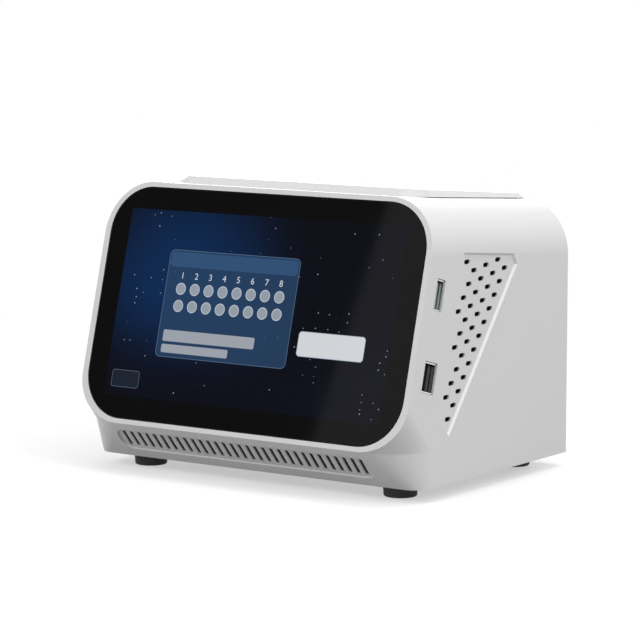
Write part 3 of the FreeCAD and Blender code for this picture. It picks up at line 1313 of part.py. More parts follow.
def lidForm(name, inset, lowest):
    """The lid's raised form: a rounded outline with sloping sides, on the sloping top face."""
    body = doc.addObject("PartDesign::Body", name)
    sketch = newSketch(body, f"{name}_outline")
    roundedSketch(sketch, s.lidWidth - inset * 2, lidOutlineLength - inset * 2, s.lidRadius - inset)
    pad = body.newObject("PartDesign::Pad", f"{name}_pad")
    pad.Profile = sketch
    bind(pad, "Length", s.lidRise - lowest)
    pad.TaperAngle = -lidDraft.number
    bind(pad, "TaperAngle", -lidDraft)
    return place(body, onLid(0, lidOutlineLength / 2, lowest), angle=lidTurn)


lidTop = lidForm("lid_top", asSize(0), asSize(0))
lidFall = arctangent((s.lidRise - s.lidRearRise) / s.lidLength)
lidShave = sized("lid_shave", onLid(-s.lidWidth / 2 - 5, asSize(0), s.lidRise), (s.lidWidth + 10, s.lidLength + 60, 10.0),
                 angle=lidTurn - lidFall)
skirtInset = 0.8
lidSkirtOuter = plate("lid_skirt_outer", s.lidWidth - skirtInset * 2, s.lidLength - skirtInset - 9.0, s.lidRadius - skirtInset,
                      s.lidSkirt, onLid(0, skirtInset / 2 + (s.lidLength - 9.0) / 2, -s.lidSkirt), angle=lidTurn)
hollowInset = skirtInset + s.lidWall
lidHollow = plate("lid_hollow", s.lidWidth - hollowInset * 2, s.lidLength - hollowInset - 12.0, s.lidRadius - hollowInset,
                  s.lidSkirt + 1, onLid(0, hollowInset / 2 + (s.lidLength - 12.0) / 2, -s.lidSkirt - 0.5), angle=lidTurn)
barrel = rod("lid_barrel", s.hingeKnuckleRadius, s.lidWidth - 8, (-s.lidWidth / 2 + 4, hingeY, hingeZ), "x")
barrelNeck = block("lid_neck", (-s.lidWidth / 2 + 4, hingeY - 6, hingeZ - s.hingeKnuckleRadius + 0.6), (s.lidWidth / 2 - 4, hingeY, hingeZ + 1.4))
lidRearLimit = block("lid_rear_limit", (-s.lidWidth, hingeY, hingeZ - 20), (s.lidWidth, hingeY + 60, hingeZ + 20))
lidPlate = less("lid_plate", fused("lid_solid", [lidTop, lidSkirtOuter]), [lidShave, lidHollow, lidRearLimit])
lidKnuckled = fused("lid_knuckled", [lidPlate, barrel, barrelNeck])
lugCuts = []
lugs = []
for side in (-1, 1):
    middle = side * s.hingeLugPlace
    half = s.hingeLugWidth / 2
    reach = s.hingeKnuckleRadius + s.hingeSideGap + 0.6
    lugCuts.append(block(f"lug_cut{side}", (middle - half - s.hingeSideGap, hingeY - reach, hingeZ - 12),
                         (middle + half + s.hingeSideGap, hingeY + 8, hingeZ + 8)))
    lugEye = rod(f"lug_eye{side}", s.hingeKnuckleRadius, s.hingeLugWidth, (middle - half, hingeY, hingeZ), "x")
    lugStem = block(f"lug_stem{side}", (middle - half, hingeY - s.hingeKnuckleRadius, linerLow + s.linerFloorThickness + s.fitGap),
                    (middle + half, innerRearY - s.fitGap - s.linerWall - s.fitGap, hingeZ))
    lugBore = rod(f"lug_bore{side}", s.hingePinRadius + 0.02, s.hingeLugWidth + 2, (middle - half - 1, hingeY, hingeZ), "x")
    lugs.append(less(f"lug{side}", fused(f"lug_solid{side}", [lugEye, lugStem]), [lugBore]))
pinBore = rod("pin_bore", s.hingePinRadius + s.runningGap, s.lidWidth + 10, (-s.lidWidth / 2 - 5, hingeY, hingeZ), "x")
keep("lid_cover", less("lid_built", lidKnuckled, lugCuts + [pinBore]))
keep("hinge_lugs", grouped("lug_group", lugs))
keep("hinge_pin", rod("pin_body", s.hingePinRadius, s.lidWidth - 8, (-s.lidWidth / 2 + 4, hingeY, hingeZ), "x"))
innerFace = -s.lidSkirt + 0.6
plateY = blockY
plateLow = s.blockTop + s.platePlay
plateHigh = plateLow + s.plateThickness
guidePlaces = [(i * s.guideX, plateY + j * s.guideSpread) for i, j in corners]
keep("lid_inner_cover", less("inner_cut", plate(
    "inner_sheet", s.lidWidth - hollowInset * 2 - s.fitGap * 2, s.lidLength - hollowInset - 12.0 - s.fitGap * 2,
    s.lidRadius - hollowInset, s.lidInnerThickness, onLid(0, hollowInset / 2 + (s.lidLength - 12.0) / 2, innerFace), angle=lidTurn),
    [rod(f"guide_hole{n}", s.guideRadius + 0.02, 30.0, (x, y, plateHigh)) for n, (x, y) in enumerate(guidePlaces)]))
headSeat = s.plateTravel + 0.2 + s.guideHead
plateBores = [rod(f"guide_bore{n}", s.guideRadius + s.runningGap, s.plateThickness + 2, (x, y, plateLow - 1))
              for n, (x, y) in enumerate(guidePlaces)]
plateBores += [rod(f"head_bore{n}", s.guideHeadRadius + 0.2, headSeat + 1, (x, y, plateLow - 1))
               for n, (x, y) in enumerate(guidePlaces)]
keep("heated_plate", less("heated_cut", plate("heated_sheet", s.blockWidth, s.blockLength, 3.0, s.plateThickness, (0, plateY, plateLow)),
                          plateBores))
guides = []
springs = []
for n, (x, y) in enumerate(guidePlaces):
    ceiling = onLid(0, (y - lidFrontY) / cosine(s.topFall), innerFace)[2]
    shoulder = plateLow + headSeat - s.runningGap
    guides.append(fused(f"guide{n}", [
        rod(f"guide_head{n}", s.guideHeadRadius, s.guideHead, (x, y, shoulder - s.guideHead)),
        rod(f"guide_shank{n}", s.guideRadius, ceiling + s.lidInnerThickness + 0.6 - shoulder, (x, y, shoulder)),
    ]))
    spring = rod(f"spring_tube{n}", s.springRadius, ceiling - plateHigh - 0.6, (x, y, plateHigh + 0.1))
    springs.append(less(f"spring_cut{n}", spring, [rod(f"spring_bore{n}", s.guideRadius + 0.3, 20.0, (x, y, plateHigh - 1))]))
keep("guide_pins", grouped("guide_group", guides))
keep("plate_springs", grouped("spring_group", springs))

# power supply on the base plate
supplyLow = baseTop + s.fitGap
supplyTop = supplyLow + s.supplyHeight
supplySlotCount = int(s.supplySlots.number)
supplyBox = block("supply_box", (-s.supplyWidth / 2, supplyY - s.supplyLength / 2, supplyLow),
                  (s.supplyWidth / 2, supplyY + s.supplyLength / 2, supplyTop))
supplyInside = block("supply_inside", (-s.supplyWidth / 2 + s.supplySheet, supplyY - s.supplyLength / 2 + s.supplySheet, supplyLow + s.supplySheet),
                     (s.supplyWidth / 2 - s.supplySheet, supplyY + s.supplyLength / 2 - s.supplySheet, supplyTop - s.supplySheet))
supplyCuts = [
    sized(f"supply_slot{i}", ((i - (supplySlotCount - 1) / 2) * s.baseVentPitch - s.supplySlotWidth / 2, supplyY - s.supplySlotLength / 2,
                              supplyTop - s.supplySheet - 1), (s.supplySlotWidth, s.supplySlotLength, s.supplySheet + 2))
    for i in range(supplySlotCount)
]
supplyCuts.append(block("supply_window", (-s.supplyWidth / 2 + 8, supplyY + s.supplyLength / 2 - 2, supplyLow + 8),
                        (-s.supplyWidth / 2 + 30, supplyY + s.supplyLength / 2 + 1, supplyLow + 18)))
keep("power_supply", less("supply_case", supplyBox, [supplyInside] + supplyCuts))
supplyBoardLow = supplyLow + s.supplySheet + 3
supplyBoardTop = supplyBoardLow + s.boardThickness
supplyParts = [block("supply_sheet", (-s.supplyWidth / 2 + 3, supplyY - s.supplyLength / 2 + 3, supplyBoardLow),
                     (s.supplyWidth / 2 - 3, supplyY + s.supplyLength / 2 - 3, supplyBoardTop))]
supplyParts += [rod(f"supply_post{n}", 2.5, 3.0, (i * (s.supplyWidth / 2 - 8), supplyY + j * (s.supplyLength / 2 - 8), supplyBoardLow - 3))
                for n, (i, j) in enumerate(corners)]
supplyParts += [rod(f"supply_capacitor{n}", 8.0, 16.0, (x, supplyY - 14, supplyBoardTop)) for n, x in enumerate((-30.0, -10.0))]
supplyParts.append(block("supply_transformer", (6.0, supplyY - 12, supplyBoardTop), (32.0, supplyY + 12, supplyBoardTop + 18)))
supplyParts.append(block("supply_spreader", (-36.0, supplyY + 12, supplyBoardTop), (0.0, supplyY + 14, supplyBoardTop + 17)))
keep("supply_board", fused("supply_board_built", supplyParts))

print("hinge", round(hingeY.number, 3), round(hingeZ.number, 3), "rocker", round(rockerAxisY.number, 3))
print("rim", round(rimY.number, 3), "optics", round(opticsY.number, 3), "block", round(blockY.number, 3))
doc.recompute()
for thing in doc.Objects:
    if "Invalid" in thing.State or "Error" in thing.State:
        raise RuntimeError(f"{thing.Label} failed to build")
for name, thing in parts.items():
    if thing.Shape.isNull() or not thing.Shape.isValid() or not thing.Shape.Solids:
        raise RuntimeError(f"{name} has no sound shape")

os.makedirs("parts", exist_ok=True)
for name, thing in parts.items():
    thing.Shape.exportStep(f"parts/{name}.step")
print(len(parts), "sub-parts")
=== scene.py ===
# Bench PCR machine with a sloping touch screen: looks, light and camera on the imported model.
import json
import math

import bmesh
import bpy
import numpy as np
from mathutils import Matrix, Vector


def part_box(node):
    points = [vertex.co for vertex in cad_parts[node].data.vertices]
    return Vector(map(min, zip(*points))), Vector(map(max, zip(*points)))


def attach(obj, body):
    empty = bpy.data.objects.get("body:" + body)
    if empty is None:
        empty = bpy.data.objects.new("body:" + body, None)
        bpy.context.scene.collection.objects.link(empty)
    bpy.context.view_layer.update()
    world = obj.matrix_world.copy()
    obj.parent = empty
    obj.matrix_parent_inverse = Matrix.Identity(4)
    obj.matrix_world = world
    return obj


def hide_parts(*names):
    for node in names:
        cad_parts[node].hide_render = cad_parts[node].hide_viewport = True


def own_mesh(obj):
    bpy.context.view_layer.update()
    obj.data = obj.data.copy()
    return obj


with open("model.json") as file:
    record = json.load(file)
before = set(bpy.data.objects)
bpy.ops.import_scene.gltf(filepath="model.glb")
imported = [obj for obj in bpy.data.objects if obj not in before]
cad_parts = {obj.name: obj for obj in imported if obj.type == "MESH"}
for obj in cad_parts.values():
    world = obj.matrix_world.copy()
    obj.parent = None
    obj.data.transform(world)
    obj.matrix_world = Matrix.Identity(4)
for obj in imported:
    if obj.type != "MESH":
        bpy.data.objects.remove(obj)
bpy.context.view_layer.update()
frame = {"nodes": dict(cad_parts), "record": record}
nodes = frame["nodes"]
scene = bpy.context.scene
behaviour = frame["record"]["behaviour"]
homes = {name: body for body, listed in behaviour["bodies"].items() for name in listed}
millimetre = 0.001

# the sloping front plane, shared by the camera, the screen's page and the numbers on it
screen = {
    "centre": (0.0, -0.05557, 0.07866),
    "tilt": 15.2,                         # degrees back from upright
}
tilt = math.radians(screen["tilt"])
acrossGlass = np.array((1.0, 0.0, 0.0))
upGlass = np.array((0.0, math.sin(tilt), math.cos(tilt)))
outOfGlass = np.array((0.0, -math.cos(tilt), math.sin(tilt)))
glassTurn = (math.radians(90 - screen["tilt"]), 0, 0)

# where the photograph was taken from
view = {
    "heading": 35.312,      # degrees round from straight in front
    "fall": 7.3925,         # degrees down
    "distance": 1.35871,    # metres from the middle of the glass
    "aside": 0.03099,
    "above": -0.00336,
    "lens": 169.03,         # millimetres, on a sensor of the width below
    "sensor": 36,
    "nearest": 0.05,
}


def placeCamera():
    heading, fall = math.radians(view["heading"]), math.radians(view["fall"])
    back = Vector((
        math.sin(heading) * math.cos(fall),
        -math.cos(heading) * math.cos(fall),
        math.sin(fall),
    ))
    right = Vector((math.cos(heading), math.sin(heading), 0))
    up = back.cross(right)
    camera = bpy.data.objects.new("camera", bpy.data.cameras.new("camera"))
    camera.data.lens = view["lens"]
    camera.data.sensor_width = view["sensor"]
    camera.data.clip_start = view["nearest"]
    at = Vector(screen["centre"]) + back * view["distance"]
    at += right * view["aside"] + up * view["above"]
    turn = Matrix((right, up, back)).transposed().to_4x4()
    camera.matrix_world = Matrix.Translation(at) @ turn
    scene.collection.objects.link(camera)
    scene.camera = camera


placeCamera()
print("camera placed")


# what the shader trees are put together with
# A socket takes another node's output or a plain value.
def feed(tree, socket, value):
    if isinstance(value, bpy.types.NodeSocket):
        tree.links.new(value, socket)
    else:
        socket.default_value = value


# A node with its settings. Sockets go by name, with _ for a space, or by number as i0, i1.
def addNode(tree, kind, settings=None, **values):
    node = tree.nodes.new(kind)
    for key, value in (settings or {}).items():
        setattr(node, key, value)
    for key, value in values.items():
        numbered = key[0] == "i" and key[1:].isdigit()
        socket = node.inputs[int(key[1:]) if numbered else key.replace("_", " ")]
        feed(tree, socket, value)
    return node


def useGroup(tree, group, **values):
    return addNode(tree, "ShaderNodeGroup", {"node_tree": group}, **values).outputs


def maths(tree, operation, a, b=None, c=None, clamp=False):
    values = {f"i{n}": value for n, value in enumerate((a, b, c)) if value is not None}
    settings = {"operation": operation, "use_clamp": clamp}
    return addNode(tree, "ShaderNodeMath", settings, **values).outputs[0]


def times(tree, product, *factors):
    for factor in factors:
        product = maths(tree, "MULTIPLY", product, factor)
    return product


# From start, where the value is first, to end, where it is last.
def ramp(tree, value, first, last, start=0.0, end=1.0, kind="SMOOTHSTEP"):
    return addNode(tree, "ShaderNodeMapRange", {"interpolation_type": kind},
                   Value=value, i1=first, i2=last, i3=start, i4=end).outputs[0]


def spread(tree, value, low, high):
    return ramp(tree, value, 0.0, 1.0, low, high, "LINEAR")


def noise(tree, place, scale, detail):
    return addNode(tree, "ShaderNodeTexNoise", Vector=place, Scale=scale, Detail=detail).outputs[0]


def mixColours(tree, mask, first, second):
    colours = [(*tone, 1.0) if isinstance(tone, tuple) else tone for tone in (first, second)]
    return addNode(tree, "ShaderNodeMix", {"data_type": "RGBA"},
                   i0=mask, i6=colours[0], i7=colours[1]).outputs[2]


# 1 where the camera, a reflection or clear glass looks. There the floor and the world show white,
# and elsewhere they light the case more dimly.
def seenDirectly(tree):
    path = tree.nodes.new("ShaderNodeLightPath").outputs
    direct = maths(tree, "MAXIMUM", path["Is Camera Ray"], path["Is Glossy Ray"])
    return maths(tree, "MAXIMUM", direct, path["Is Transmission Ray"])


# shader groups shared by the materials
# An input is a number, or a vector where its value is a tuple or None. Every output is a number.
def newGroup(name, inputs, outputs):
    group = bpy.data.node_groups.new(name, "ShaderNodeTree")
    for label, value in inputs.items():
        kind = "NodeSocketFloat" if isinstance(value, float) else "NodeSocketVector"
        socket = group.interface.new_socket(label, in_out="INPUT", socket_type=kind)
        if value is not None:
            socket.default_value = value
    for label in outputs:
        group.interface.new_socket(label, in_out="OUTPUT", socket_type="NodeSocketFloat")
    given = group.nodes.new("NodeGroupInput").outputs
    return group, given, group.nodes.new("NodeGroupOutput").inputs


# Spark-eroded mould grain: fine noise, with a slow cloud that says where handling polished it.
def buildSkinGrain():
    group, given, out = newGroup("skinGrain", {
        "Position": None, "Fineness": 1500.0, "Cloud Size": 18.0, "Cloud Depth": 0.5,
    }, ("Height", "Cloud"))
    slow = noise(group, given["Position"], given["Cloud Size"], 4.0)
    centred = maths(group, "SUBTRACT", slow, 0.5)
    cloud = maths(group, "MULTIPLY_ADD", centred, given["Cloud Depth"], 0.5)
    feed(group, out["Height"], noise(group, given["Position"], given["Fineness"], 3.0))
    feed(group, out["Cloud"], cloud)
    return group


# Distance from a rounded rectangle: |p - centre| - (half - corner), its length less the corner.
# Mask steps softly from 0 to 1 at the outline, and Edge is a line three soft steps wide inside it.
def buildRoundedShape():
    group, given, out = newGroup("roundedShape", {
        "Position": None, "Centre X": 0.0, "Centre Y": 0.0,
        "Half X": 10.0, "Half Y": 5.0, "Corner": 1.0, "Soft": 0.1,
    }, ("Mask", "Edge"))
    apart = addNode(group, "ShaderNodeSeparateXYZ", Vector=given["Position"]).outputs
    beyond = []
    for letter in "XY":
        offset = maths(group, "SUBTRACT", apart[letter], given["Centre " + letter])
        straight = maths(group, "SUBTRACT", given["Half " + letter], given["Corner"])
        beyond.append(maths(group, "SUBTRACT", maths(group, "ABSOLUTE", offset), straight))
    outside = [maths(group, "MAXIMUM", value, 0.0) for value in beyond]
    squares = [times(group, value, value) for value in outside]
    reach = maths(group, "SQRT", maths(group, "ADD", *squares))
    inward = maths(group, "MINIMUM", maths(group, "MAXIMUM", *beyond), 0.0)
    distance = maths(group, "SUBTRACT", maths(group, "ADD", reach, inward), given["Corner"])
    mask = ramp(group, distance, given["Soft"], 0.0)
    near = ramp(group, distance, times(group, given["Soft"], -3.0), 0.0)
    feed(group, out["Mask"], mask)
    feed(group, out["Edge"], times(group, near, mask))
    return group


# Settled dust: more of it on faces that look up, broken up by noise.
def buildDustField():
    group, given, out = newGroup("dustField", {
        "Position": None, "Normal": None, "Amount": 0.1,
    }, ("Mask",))
    apart = addNode(group, "ShaderNodeSeparateXYZ", Vector=given["Normal"]).outputs
    upward = maths(group, "MAXIMUM", apart["Z"], 0.0)
    specks = times(group, upward, noise(group, given["Position"], 420.0, 5.0))
    feed(group, out["Mask"], maths(group, "MULTIPLY", specks, given["Amount"], clamp=True))
    return group


# Lines left by a cutter or a rolling mill: noise stretched along one axis.
def buildToolLines():
    group, given, out = newGroup("toolLines", {
        "Position": None, "Along": (40.0, 2200.0, 2200.0),
    }, ("Height",))
    stretched = addNode(group, "ShaderNodeVectorMath", {"operation": "MULTIPLY"},
                        i0=given["Position"], i1=given["Along"])
    feed(group, out["Height"], noise(group, stretched.outputs[0], 1.0, 3.0))
    return group


# painted shade down the holes of the side grilles and the front vent: where it lies, in metres
# from the case's outer faces
holeShade = {
    "start": 0.0003,                # the painted shade begins this far under a field's face
    "end": 0.0011,                  # and is full from here
    "reach": 0.008,                 # down to here under the outer face
    "halfWidth": 0.0917,            # of the case
    "grilleField": 0.0010,          # how deep the side grilles' field lies
    "grilleY": (-0.044, 0.027),
    "grilleZ": (0.026, 0.1105),
    "chinEdge": (-0.0705, 0.0237),  # a point, in Y and Z, of the chin's outer face
    "chinAngle": 49.4,
    "ventField": 0.0008,
    "ventHalf": 0.0725,
    "ventZ": (0.0085, 0.0224),
}


# Painted shade down the holes of the side grilles and of the front vent, darkening the case's
# colour there.
# Depth is half the width less |x| at the sides, and the distance from the chin's sloping plane in
# front.
def buildInsideCase():
    group, given, out = newGroup("paintedHoleShade", {"Position": None}, ("Mask",))
    x, y, z = addNode(group, "ShaderNodeSeparateXYZ", Vector=given["Position"]).outputs
    wide = maths(group, "ABSOLUTE", x)

    def between(value, low, high):
        over = maths(group, "GREATER_THAN", value, low)
        return times(group, over, maths(group, "LESS_THAN", value, high))

    def painted(depth, field, *limits):
        shade = ramp(group, depth, field + holeShade["start"], field + holeShade["end"])
        return times(group, shade, maths(group, "LESS_THAN", depth, holeShade["reach"]), *limits)

    sideDepth = maths(group, "SUBTRACT", holeShade["halfWidth"], wide)
    side = painted(sideDepth, holeShade["grilleField"],
                   between(y, *holeShade["grilleY"]), between(z, *holeShade["grilleZ"]))
    slope = math.radians(holeShade["chinAngle"])
    edgeY, edgeZ = holeShade["chinEdge"]
    risen = times(group, maths(group, "SUBTRACT", z, edgeZ), math.cos(slope))
    behind = maths(group, "SUBTRACT", y, edgeY)
    chinDepth = maths(group, "MULTIPLY_ADD", behind, math.sin(slope), risen)
    front = painted(chinDepth, holeShade["ventField"],
                    maths(group, "LESS_THAN", wide, holeShade["ventHalf"]),
                    between(z, *holeShade["ventZ"]))
    feed(group, out["Mask"], maths(group, "MAXIMUM", side, front))
    return group


skinGrain = buildSkinGrain()
roundedShape = buildRoundedShape()
dustField = buildDustField()
toolLines = buildToolLines()
paintedHoleShade = buildInsideCase()


# the materials
def startMaterial(name, **sockets):
    material = bpy.data.materials.new(name)
    material.use_nodes = True
    tree = material.node_tree
    shader = tree.nodes["Principled BSDF"].inputs
    for key, value in sockets.items():
        shader[key.replace("_", " ")].default_value = value
    position = tree.nodes.new("ShaderNodeTexCoord").outputs["Object"]
    return material, tree, shader, position


def bumped(tree, shader, height, strength, depth):
    bump = addNode(tree, "ShaderNodeBump", Height=height, Strength=strength, Distance=depth)
    feed(tree, shader["Normal"], bump.outputs[0])


moulding = {
    "cloudDepth": 0.7,
    "coatRoughness": 0.12,
    "grainDepth": 0.0002,
    "dust": (0.55, 0.54, 0.52),
    # tone of the painted shade down the case's holes
    "holeShadeTone": (0.012, 0.012, 0.013),
}


def mouldedPlastic(name, colour, rough=(0.30, 0.38), bump=0.05, shade=0.94, fineness=1500.0,
                   coat=0.0, dust=0.06, painted=False, **sockets):
    material, tree, shader, position = startMaterial(
        name, Coat_Weight=coat, Coat_Roughness=moulding["coatRoughness"], **sockets)
    grain = useGroup(tree, skinGrain, Position=position, Fineness=fineness,
                     Cloud_Depth=moulding["cloudDepth"])
    darker = tuple(part * shade for part in colour)
    tone = mixColours(tree, grain["Cloud"], darker, colour)
    geometry = tree.nodes.new("ShaderNodeNewGeometry").outputs
    settled = useGroup(tree, dustField, Position=position, Normal=geometry["Normal"], Amount=dust)
    tone = mixColours(tree, settled["Mask"], tone, moulding["dust"])
    # painted shade: the tone darkens down the walls of the case's holes
    if painted:
        inside = useGroup(tree, paintedHoleShade, Position=position)
        tone = mixColours(tree, inside["Mask"], tone, moulding["holeShadeTone"])
    feed(tree, shader["Base Color"], tone)
    feed(tree, shader["Roughness"], spread(tree, grain["Cloud"], *rough))
    bumped(tree, shader, grain["Height"], bump, moulding["grainDepth"])
    return material


metalwork = {"lineDepth": 0.0001, "shade": 0.85}


def workedMetal(name, colour, rough=(0.22, 0.36), along=(40.0, 2200.0, 2200.0), bump=0.06):
    material, tree, shader, position = startMaterial(name, Metallic=1.0)
    lines = useGroup(tree, toolLines, Position=position, Along=along)["Height"]
    darker = tuple(part * metalwork["shade"] for part in colour)
    feed(tree, shader["Base Color"], mixColours(tree, lines, darker, colour))
    feed(tree, shader["Roughness"], spread(tree, lines, *rough))
    bumped(tree, shader, lines, bump, metalwork["lineDepth"])
    return material


boardFace = {
    "mask": (0.012, 0.11, 0.035),
    "overCopper": (0.03, 0.20, 0.07),
    "runs": 130.0,                # copper runs to the metre
    "softness": 0.035,            # of a run's edge
    "grain": 900.0,
    "rough": (0.32, 0.45),
    "relief": 0.15,
    "copperDepth": 0.0001,
}


# Green solder mask over copper runs, which show as slightly lighter lines.
def circuitBoard(name):
    material, tree, shader, position = startMaterial(name, Coat_Weight=0.3, Coat_Roughness=0.15)
    flat = addNode(tree, "ShaderNodeMapping", Vector=position, Rotation=glassTurn).outputs[0]
    runs = addNode(tree, "ShaderNodeTexBrick", {"offset": 0.5}, Vector=flat,
                   Scale=boardFace["runs"], Mortar_Smooth=boardFace["softness"]).outputs["Fac"]
    grain = useGroup(tree, skinGrain, Position=position, Fineness=boardFace["grain"])["Height"]
    tone = mixColours(tree, runs, boardFace["mask"], boardFace["overCopper"])
    feed(tree, shader["Base Color"], tone)
    feed(tree, shader["Roughness"], spread(tree, grain, *boardFace["rough"]))
    bumped(tree, shader, runs, boardFace["relief"], boardFace["copperDepth"])
    return material


# The invented start page, in millimetres across and up the glass from its middle.
# A box is a middle, half sizes and a corner. A cover is how much of the page a tone hides.
page = {
    "lit": (0.0, 0.0, 77.35, 44.0, 0.2),   # the display's lit area
    "litSoft": 0.2,
    "depth": (-0.3, -0.1),                 # it fades in towards the glass's front face
    "strength": 0.9,
    "soft": 0.12,
    "glow": (-42.0, 8.0, 0.0),
    "glowReach": (78.2, 4.0),              # radii where the glow starts and is full
    "deepBlue": (0.0003, 0.0008, 0.0045),
    "glowBlue": (0.001, 0.022, 0.088),
    "night": (0.0006, 0.0012, 0.006),      # the bottom of the page
    "nightHeights": (-44.0, 10.0),
    "sparks": {
        "perMillimetre": 0.30,
        "edge": (0.10, 0.05),              # distances where a spark starts and is full
        "swarm": 0.035,
        "rarity": 0.49,
        "tone": (0.50, 0.56, 0.66),
    },
    "forms": {
        "panel": {
            "box": (-14.0, 1.0, 37.0, 25.0, 2.5),
            "fill": (0.020, 0.058, 0.135), "cover": 0.8,
            "line": (0.16, 0.26, 0.40), "lineCover": 0.6,
        },
        "header": {
            "box": (-14.0, 21.6, 36.0, 3.4, 1.8),
            "fill": (0.035, 0.095, 0.21), "cover": 0.8,
        },
        "upperBar": {"box": (-22.0, -14.0, 26.0, 2.6, 0.7), "fill": (0.36, 0.39, 0.44)},
        "lowerBar": {"box": (-29.0, -20.0, 19.0, 1.9, 0.7), "fill": (0.36, 0.39, 0.44)},
        "button": {
            "box": (46.0, -12.0, 18.0, 5.6, 1.6),
            "fill": (0.70, 0.72, 0.75), "line": (0.42, 0.50, 0.62),
        },
        "smallButton": {
            "box": (-66.0, -36.0, 8.0, 4.0, 1.4),
            "fill": (0.010, 0.016, 0.030),
            "line": (0.16, 0.20, 0.28), "lineCover": 0.6,
        },
    },
    "wells": {
        "first": (-42.0, 8.0),             # the upper left one
        "columns": 8,
        "rows": 2,
        "pitch": 8.0,
        "radius": 2.7,
        "soft": 0.15,
        "fill": (0.32, 0.36, 0.42),
        "line": (0.62, 0.68, 0.76),
    },
}


def pageShape(tree, place, box, soft):
    x, y, halfX, halfY, corner = box
    return useGroup(tree, roundedShape, Position=place, Centre_X=x, Centre_Y=y,
                    Half_X=halfX, Half_Y=halfY, Corner=corner, Soft=soft)


# The page's ground: a blue glow that falls off into the night, with faint sparks in swarms.
def pageGround(tree, place, height):
    offset = addNode(tree, "ShaderNodeVectorMath", {"operation": "DISTANCE"},
                     i0=place, i1=page["glow"]).outputs["Value"]
    glow = ramp(tree, offset, *page["glowReach"], kind="SMOOTHERSTEP")
    ground = mixColours(tree, glow, page["deepBlue"], page["glowBlue"])
    ground = mixColours(tree, ramp(tree, height, *page["nightHeights"]), page["night"], ground)
    sparks = page["sparks"]
    cells = addNode(tree, "ShaderNodeTexVoronoi", {"voronoi_dimensions": "2D"},
                    Vector=place, Scale=sparks["perMillimetre"]).outputs
    tiny = ramp(tree, cells["Distance"], *sparks["edge"], kind="LINEAR")
    chance = addNode(tree, "ShaderNodeSeparateColor", Color=cells["Color"]).outputs
    swarm = noise(tree, place, sparks["swarm"], 1.5)
    kept = maths(tree, "GREATER_THAN", times(tree, chance[0], swarm), sparks["rarity"])
    return mixColours(tree, times(tree, tiny, kept, chance[1]), ground, sparks["tone"])


# The wells are one circle, repeated by folding the page at half the pitch, inside their block.
def pageWells(tree, place, across, height, drawn):
    wells = page["wells"]
    firstX, upperY = wells["first"]
    pitch, radius = wells["pitch"], wells["radius"]
    column = maths(tree, "PINGPONG", maths(tree, "SUBTRACT", across, firstX - pitch), pitch / 2)
    row = maths(tree, "PINGPONG", maths(tree, "SUBTRACT", height, upperY - pitch), pitch / 2)
    folded = addNode(tree, "ShaderNodeCombineXYZ", i0=column, i1=row).outputs[0]
    spots = pageShape(tree, folded, (0.0, 0.0, radius, radius, radius), wells["soft"])
    halfX, halfY = pitch * wells["columns"] / 2, pitch * wells["rows"] / 2
    middle = firstX - pitch / 2 + halfX, upperY + pitch / 2 - halfY
    block = pageShape(tree, place, (*middle, halfX, halfY, 0.1), page["soft"])["Mask"]
    drawn = mixColours(tree, times(tree, spots["Mask"], block), drawn, wells["fill"])
    return mixColours(tree, times(tree, spots["Edge"], block), drawn, wells["line"])


def startPage(tree, place, across, height):
    drawn = pageGround(tree, place, height)
    for form in page["forms"].values():
        shape = pageShape(tree, place, form["box"], page["soft"])
        fill = times(tree, shape["Mask"], form.get("cover", 1.0))
        drawn = mixColours(tree, fill, drawn, form["fill"])
        if "line" in form:
            line = times(tree, shape["Edge"], form.get("lineCover", 1.0))
            drawn = mixColours(tree, line, drawn, form["line"])
    return pageWells(tree, place, across, height, drawn)


glassFace = {
    "tones": ((0.0035, 0.0035, 0.004), (0.0055, 0.0055, 0.006)),
    "rough": (0.02, 0.06),
    "smears": 60.0,
    "smearCloud": 25.0,
    "gloss": 0.12,
}


# Black gloss glass. Inside the display's lit area the start page shows through it.
def touchGlass(name):
    material, tree, shader, position = startMaterial(name, Specular_IOR_Level=glassFace["gloss"])
    place = addNode(tree, "ShaderNodeMapping", {"vector_type": "TEXTURE"}, Vector=position,
                    Location=screen["centre"], Rotation=glassTurn,
                    Scale=(millimetre, millimetre, millimetre)).outputs[0]
    across, height, forward = addNode(tree, "ShaderNodeSeparateXYZ", Vector=place).outputs
    lit = pageShape(tree, place, page["lit"], page["litSoft"])["Mask"]
    shown = times(tree, lit, ramp(tree, forward, *page["depth"], kind="LINEAR"))
    glowing = mixColours(tree, shown, (0.0, 0.0, 0.0), startPage(tree, place, across, height))
    feed(tree, shader["Emission Color"], glowing)
    shader["Emission Strength"].default_value = page["strength"]
    smears = useGroup(tree, skinGrain, Position=position, Fineness=glassFace["smears"],
                      Cloud_Size=glassFace["smearCloud"])
    feed(tree, shader["Base Color"], mixColours(tree, smears["Cloud"], *glassFace["tones"]))
    feed(tree, shader["Roughness"], spread(tree, smears["Height"], *glassFace["rough"]))
    return material


